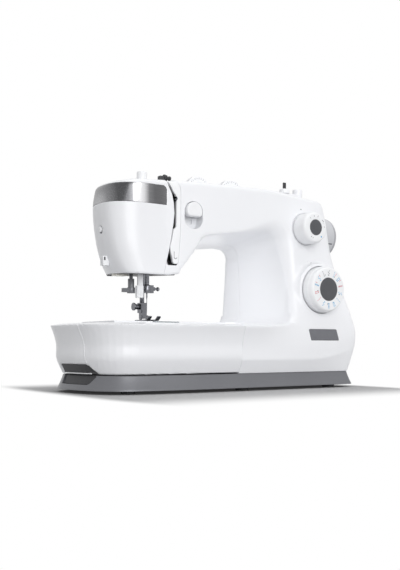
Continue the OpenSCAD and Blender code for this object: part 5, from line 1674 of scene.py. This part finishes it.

# %% [markdown]
# ## Handwheel
# The handwheel is a turned moulding on the main shaft. Its rim is rounded with one narrow groove
# near the outer edge, and its outer face is dished.

# %% Handwheel
WHEEL_X, WHEEL_X0, WHEEL_R = 210.6, 178.0, 29.0
wheel_profile = rounded_profile([
    (WHEEL_X - 10, 0, 0), (WHEEL_X - 10, 9.0, 1.0), (WHEEL_X - 3.2, 14.0, 2.0),
    (WHEEL_X, 19.0, 2.2), (WHEEL_X, 24.5, 1.2), (WHEEL_X - 1.4, 27.2, 1.6),
    (WHEEL_X - 5.2, 28.9, 1.4), (WHEEL_X - 6.6, 28.4, 0.3), (WHEEL_X - 7.6, 28.9, 0.4),
    (WHEEL_X - 22, 29.0, 2.0), (WHEEL_X0 + 1.6, 28.2, 1.4), (WHEEL_X0, 26.6, 1.0),
    (WHEEL_X0 + 0.2, 24.8, 0.4), (WHEEL_X0 + 3, 23.6, 0.8), (WHEEL_X0 + 4, 12.4, 1.5),
    (167.6, 12.0, 0.6), (167.6, 4.4, 0.2), (WHEEL_X - 10.5, 4.4, 0.1), (WHEEL_X - 10.5, 0, 0)])
wheel = piece("handwheel_rim", turned_piece(wheel_profile, "X", (0, SHAFT_Y, SHAFT_Z), 128),
              [wheel_grey, wheel_edge], "handwheel_shaft", ("handwheel",))
for face in wheel.data.polygons:
    face.material_index = 1 if face.center.x > (WHEEL_X - 6.4) * MM else 0
MARK_X, MARK_TURN = WHEEL_X - 14, math.radians(203)


def rim_mark():
    """A painted notch on the rim that shows where the needle is highest."""
    rows, count = [], 7
    for out in (-0.4, 0.05):
        for x in (MARK_X - 4.5, MARK_X + 4.5):
            for k in range(count):
                a = MARK_TURN + math.radians(3.2) * (k / (count - 1) - 0.5)
                r = WHEEL_R + out
                rows.append((x, SHAFT_Y + r * math.cos(a), SHAFT_Z + r * math.sin(a)))
    high = 2 * count
    faces = []
    for k in range(count - 1):
        faces += [(high + k, high + k + 1, high + count + k + 1, high + count + k),
                  (k + 1, k, count + k, count + k + 1), (k, k + 1, high + k + 1, high + k),
                  (count + k + 1, count + k, high + count + k, high + count + k + 1)]
    for k in (0, count - 1):
        faces.append((k, high + k, high + count + k, count + k)[::1 if k == 0 else -1])
    return np.array(rows), faces


piece("handwheel_mark", rim_mark(), mark_grey, "handwheel_shaft", sharp=50.0)

# %% [markdown]
# ## Reverse lever
# The lever is a half-round pad in an oval recess. Pressing it down sews backwards. A thin white
# shutter behind it hides the inside of the machine.

# %% Reverse lever
LEVER_X, LEVER_Z = LEVER_AT
LINK_FRONT, LINK_BACK = -18.6, -15.0
PAD_OUTLINE = np.concatenate([
    arc((LEVER_X, LEVER_Z + 5), 11.6, 0, 180, 20),
    [(LEVER_X - 10.9, LEVER_Z + 1.5), (LEVER_X - 8.2, LEVER_Z - 1.9),
     (LEVER_X + 8.8, LEVER_Z - 1.9), (LEVER_X + 11.2, LEVER_Z + 0.6)]])
LINK_OUTLINE = np.array([(LEVER_X - 5, LEVER_Z + 1), (PIVOT[0], PIVOT[1] - 5),
                         (PIVOT[0], PIVOT[1] + 5), (LEVER_X - 5, LEVER_Z + 10)])


def rod_field(across, up, along, centre, start, end, radius, edge):
    """A round rod about centre, from start to end along its axis."""
    away = np.sqrt((across - centre[0])**2 + (up - centre[1])**2)
    return both(away - radius, np.maximum(start - along, along - end), edge)


def pad_field(x, y, z):
    dish = 0.05 * np.maximum(0, 7 - np.sqrt((x - LEVER_X)**2 + (z - 229)**2))
    pad = both(outline_distance(x, z, PAD_OUTLINE), np.maximum(-37.0 + dish - y, y + 27.4), 1.6)
    neck = box_field(x, y, z, (LEVER_X - 3, -29, LEVER_Z + 2),
                     (LEVER_X + 3, LINK_BACK, LEVER_Z + 9), 0.6)
    link = both(outline_distance(x, z, LINK_OUTLINE),
                np.maximum(LINK_FRONT - y, y - LINK_BACK), 0.6)
    hub = rod_field(x, z, y, PIVOT, LINK_FRONT - 1, LINK_BACK, 5, 0.5)
    pin = rod_field(x, z, y, PIVOT, -39.5, -19.0, 2, 0.3)
    return either(either(either(pad, neck, 1.0), link, 0.8), either(hub, pin, 0.5), 0.8)


piece("reverse_lever_pad", mesh_field(pad_field, (-64, -41, 214), (17, -13, 242), 0.8),
      dial_white, "reverse_lever", ("reverse_lever",))

# %% [markdown]
# ## Parts on top and behind
# The spool pin lies in a well behind the arm, with a collar and a cap. The bobbin winder
# stands at the right, the dark thread guide at the left, and the handle folds down at the back.

# %% Turned parts on top
spool_profile = rounded_profile([
    (-26, 0, 0), (-26, 2.5, 0.6), (-24.0, 2.5, 0.1), (-24.0, 11.4, 0.8), (-20.0, 12.0, 1.2),
    (-20.0, 3.2, 0.4), (-16, 2.5, 0.5), (70, 2.5, 0.2), (70, 6.6, 0.4), (74, 7.0, 0.6),
    (74, 2.5, 0.2), (77.5, 2.5, 0.7), (77.5, 0, 0)])
piece("spool_pin_rod", turned_piece(spool_profile, "X", (0, *SPOOL_PIN), 64), dial_white, "machine",
      ("spool_pin",))
pressure_profile = rounded_profile([
    (240, 0, 0), (240, 3.5, 0.5), (265.4, 3.5, 0.1), (265.4, 6.9, 0.4), (267.0, 7.0, 0.3),
    (279.4, 6.6, 1.6), (281, 5.0, 1.0), (280.6, 0, 0)])
piece("pressure_dial_knob", turned_piece(pressure_profile, "Z", (*PRESSURE_AT, 0), 64), dial_white,
      "pressure_dial", ("pressure_dial",))
dial_line = [(265.9, 6.6), (265.9, 7.06), (266.5, 7.06), (266.5, 6.6)]
piece("pressure_dial_line", turned_piece(dial_line, "Z", (*PRESSURE_AT, 0), 64), mark_grey,
      "pressure_dial")
winder_cup = rounded_profile([
    (270.5, 2.3, 0), (270.5, 7.0, 0.7), (276.5, 7.0, 0.8), (276.5, 5.2, 0.3), (273.0, 5.0, 0.4),
    (273.0, 2.3, 0)])
piece("winder_cup", turned_piece(winder_cup, "Z", (*WINDER_AT, 0), 64), dial_white,
      "winder_spindle", ("winder_spindle",))
spindle = turned_piece(rounded_profile([(238, 0, 0), (238, 2.5, 0.4), (273.5, 2.5, 0.2),
                                        (275.5, 2.0, 0.5), (275.5, 0, 0)]),
                       "Z", (*WINDER_AT, 0), 32)


def pin_field(x, y, z):
    pin = both(np.abs(np.abs(x - WINDER_AT[0]) - 1.4) - 0.9, np.abs(y - WINDER_AT[1]) - 1.2, 0.4)
    return both(pin, np.maximum(274 - z, z - 286), 0.5)


piece("winder_pins", merged(spindle, mesh_field(pin_field, (114, -15, 272), (122, -9, 288), 0.35)),
      dark_plastic, "winder_spindle")


def guide_field(x, y, z):
    made = box_field(x, y, z, (-81, -3, 265), (-74, 4, 274), 0.8)
    for start, end, radius, edge, blend in ((-80, -65, 1.6, 0.3, 0.6), (-74.2, -72, 4.5, 0.5, 0.3),
                                            (-71, -70, 4.0, 0.3, 0.3), (-67, -64, 3.0, 0.8, 0.3)):
        made = either(made, rod_field(y, z, x, (0, 272), start, end, radius, edge), blend)
    return made


piece("top_thread_guide_body", mesh_field(guide_field, (-84, -7, 262), (-61, 8, 279), 0.5),
      dark_plastic, "machine", ("top_thread_guide",))

# %% Carry handle
HANDLE_X, HANDLE_ARM = (-40.6, 102.6), 6.2


def handle_field(x, y, z):
    x0, x1 = HANDLE_X
    outer = np.maximum(np.maximum(x0 - x, x - x1), np.maximum(220 - z, z - HINGE[1]))
    inner = box_field(x, y, z, (x0 + HANDLE_ARM, -200, 232.5), (x1 - HANDLE_ARM, 200, 400), 4.0)
    bar = less(both(outer, np.maximum(76 - y, y - 83), 2.2), inner, 1.6)
    for start in (x0, x1 - HANDLE_ARM):
        bar = either(bar, rod_field(y, z, x, HINGE, start, start + HANDLE_ARM, 4, 0.6), 0.8)
    for start in (-44.5, 92.5):
        bar = either(bar, rod_field(y, z, x, HINGE, start, start + 14, 1.5, 0.2), 0.2)
    return bar


piece("carry_handle_bar", mesh_field(handle_field, (-48, 72, 216), (110, 87, 262), 1.3),
      cover_white, "carry_handle", ("carry_handle",))
print("controls are on")

# %% [markdown]
# ## Thread cutter on the face plate
# A small slotted block on the left side holds a short blade that cuts the thread. Above it a screw
# holds the face plate, and a cap covers it in its round seat. The seat is dark and the cap sits off
# its centre, so a crescent of painted shade shows round one side.

# %% Thread cutter
def cutter_field(x, y, z):
    body = box_field(x, y, z, (-157.2, 7, 156), (-149, 15, 168), 0.7)
    notch = box_field(x, y, z, (-170, 9.8, 153), (-154.0, 12.2, 163.5), 0.8)
    return less(body, notch, 0.3)


piece("thread_cutter", mesh_field(cutter_field, (-160, 4, 153), (-147, 18, 171), 0.4),
      dial_white, "machine")


def blade_field(x, y, z):
    return box_field(x, y, z, (-156.0, 6.75, 162.4), (-153.8, 9.0, 166.6), 0.4)


piece("thread_cutter_blade", mesh_field(blade_field, (-158, 5, 161), (-152, 11, 168), 0.3),
      shade_and_blade_dark, "machine")
# The seat's dark tone is painted shade in the hole around the off-centre cap.
shade_ring_turned = turned_piece(rounded_profile([
    (-155.4, 0, 0), (-155.6, 4.3, 0.3), (-158.4, 4.7, 0.3), (-152.0, 4.75, 0.3), (-152.0, 0, 0)]),
    "X", (0, *FACE_SCREW), 48)
piece("face_screw_shade_ring", shade_ring_turned, shade_and_blade_dark, "machine")
cap_turned = turned_piece(rounded_profile([
    (-160.7, 0, 0), (-160.5, 2.4, 0.8), (-159.9, 3.7, 0.7), (-155.0, 3.7, 0.3), (-155.0, 0, 0)]),
    "X", (0, FACE_SCREW[0] + 0.7, FACE_SCREW[1] + 0.4), 48)
piece("face_screw_cover", cap_turned, dial_white, "machine")

# %% Shutter of the reverse lever
def shutter_field(x, y, z):
    plate = box_field(x, y, z, (-63, -19.75, 205), (-37.5, -19.05, 245), 0.3)
    neck_way = box_field(x, y, z, (-53.1, -30, 224.1), (-47.3, -10, 230.9), 0.2)
    return less(plate, neck_way, 0.05)


piece("reverse_shutter", mesh_field(shutter_field, (-66, -21, 202), (-35, -17, 248), 0.45),
      dial_white, "reverse_lever")

# %% [markdown]
# ## Plate under the head
# A plate closes the head below. It is cut back where the needle bar, the presser bar, the threader,
# the buttonhole lever and the lamp come through. Its dark tone is painted shade under the head.

# %% Head base
NEEDLE_X, PRESSER_Y = PRESSURE_AT
LAMP = (-127.5, 18.5)


def head_base_field(x, y, z):
    under = head_floor(y)
    plate = both(outside_field(x, y, np.maximum(z, 148)) + 2.9,
                 np.maximum(under - z, z - under - 2.6), 0.4)
    plate = np.maximum(plate, np.maximum(x - HEAD_RIGHT, y - 70))
    for way in (box_field(x, y, z, (NEEDLE_X - 9, -6, 0), (NEEDLE_X + 9, PRESSER_Y + 8, 400), 1.5),
                np.sqrt((x + 119)**2 + (y - 5)**2) - 5,
                box_field(x, y, z, (-116, -6.5, 0), (-107, -2.5, 400), 0.8),
                box_field(x, y, z, (LAMP[0] - 8.2, LAMP[1] - 7.2, 0),
                          (LAMP[0] + 8.2, LAMP[1] + 7.2, 400), 1.0)):
        plate = less(plate, way, 0.3)
    return plate


# The plate's dark tone is painted shade for the underside of the head.
piece("head_base_shade_plate", mesh_field(head_base_field, (-160, -36, 142), (-72, 74, 151), 0.9),
      dark_plastic, "machine", ("head_base",))

# %% [markdown]
# ## Working parts
# The parts that do the work are pressed, turned and cast metal. They keep the shapes from the
# construction, and each gets its own finish. All but the presser spring and the two belts also get
# a fine bevel so that their edges catch the light.

# %% Finishes of the working parts
finish_of = {
    "rubber_feet": foot_rubber, "free_arm_cover": cover_white,
    "needle_plate": plate_steel, "bobbin_cover": clear_plastic, "main_frame": cast_alloy,
    "shaft_bushes": bush_brass, "main_shaft": steel, "connecting_rod": steel,
    "drive_pulleys": dark_plastic, "timing_belt": belt_rubber, "drive_belt": belt_rubber,
    "motor": steel, "motor_pulley": dark_plastic, "lower_shaft": steel,
    "rotary_hook": bright_steel, "bobbin_case": dark_plastic, "bobbin": clear_plastic,
    "feed_dog": bright_steel, "feed_bar": steel, "needle_bar_frame": cast_alloy,
    "needle_bar": bright_steel, "needle_clamp": bright_steel, "clamp_screw": bright_steel,
    "needle": bright_steel, "presser_bar": bright_steel, "presser_spring": steel,
    "foot_holder": bright_steel, "foot_screw": bright_steel, "presser_foot": bright_steel,
    "presser_lifter": dark_plastic, "take_up_lever": bright_steel,
    "needle_threader": base_silver, "buttonhole_lever": dial_white, "lamp": lamp_white,
    "circuit_board": board_green, "power_inlet": dark_plastic, "power_switch": dark_plastic,
    "screws": bright_steel}
kept = [n for n in frame["nodes"] if n in finish_of]
for name in kept:
    made = frame["nodes"][name]
    for place in made.material_slots:
        place.material = finish_of[name]
    weld = made.modifiers.new("weld", "WELD")
    weld.merge_threshold = 0.00001
    if name in ("presser_spring", "timing_belt", "drive_belt"):
        continue
    bevel = made.modifiers.new("bevel", "BEVEL")
    bevel.limit_method, bevel.angle_limit = "ANGLE", math.radians(38)
    bevel.width, bevel.segments = 0.00022, 2
    bevel.use_clamp_overlap, bevel.harden_normals = True, True
print(len(kept), "working parts have their finish")
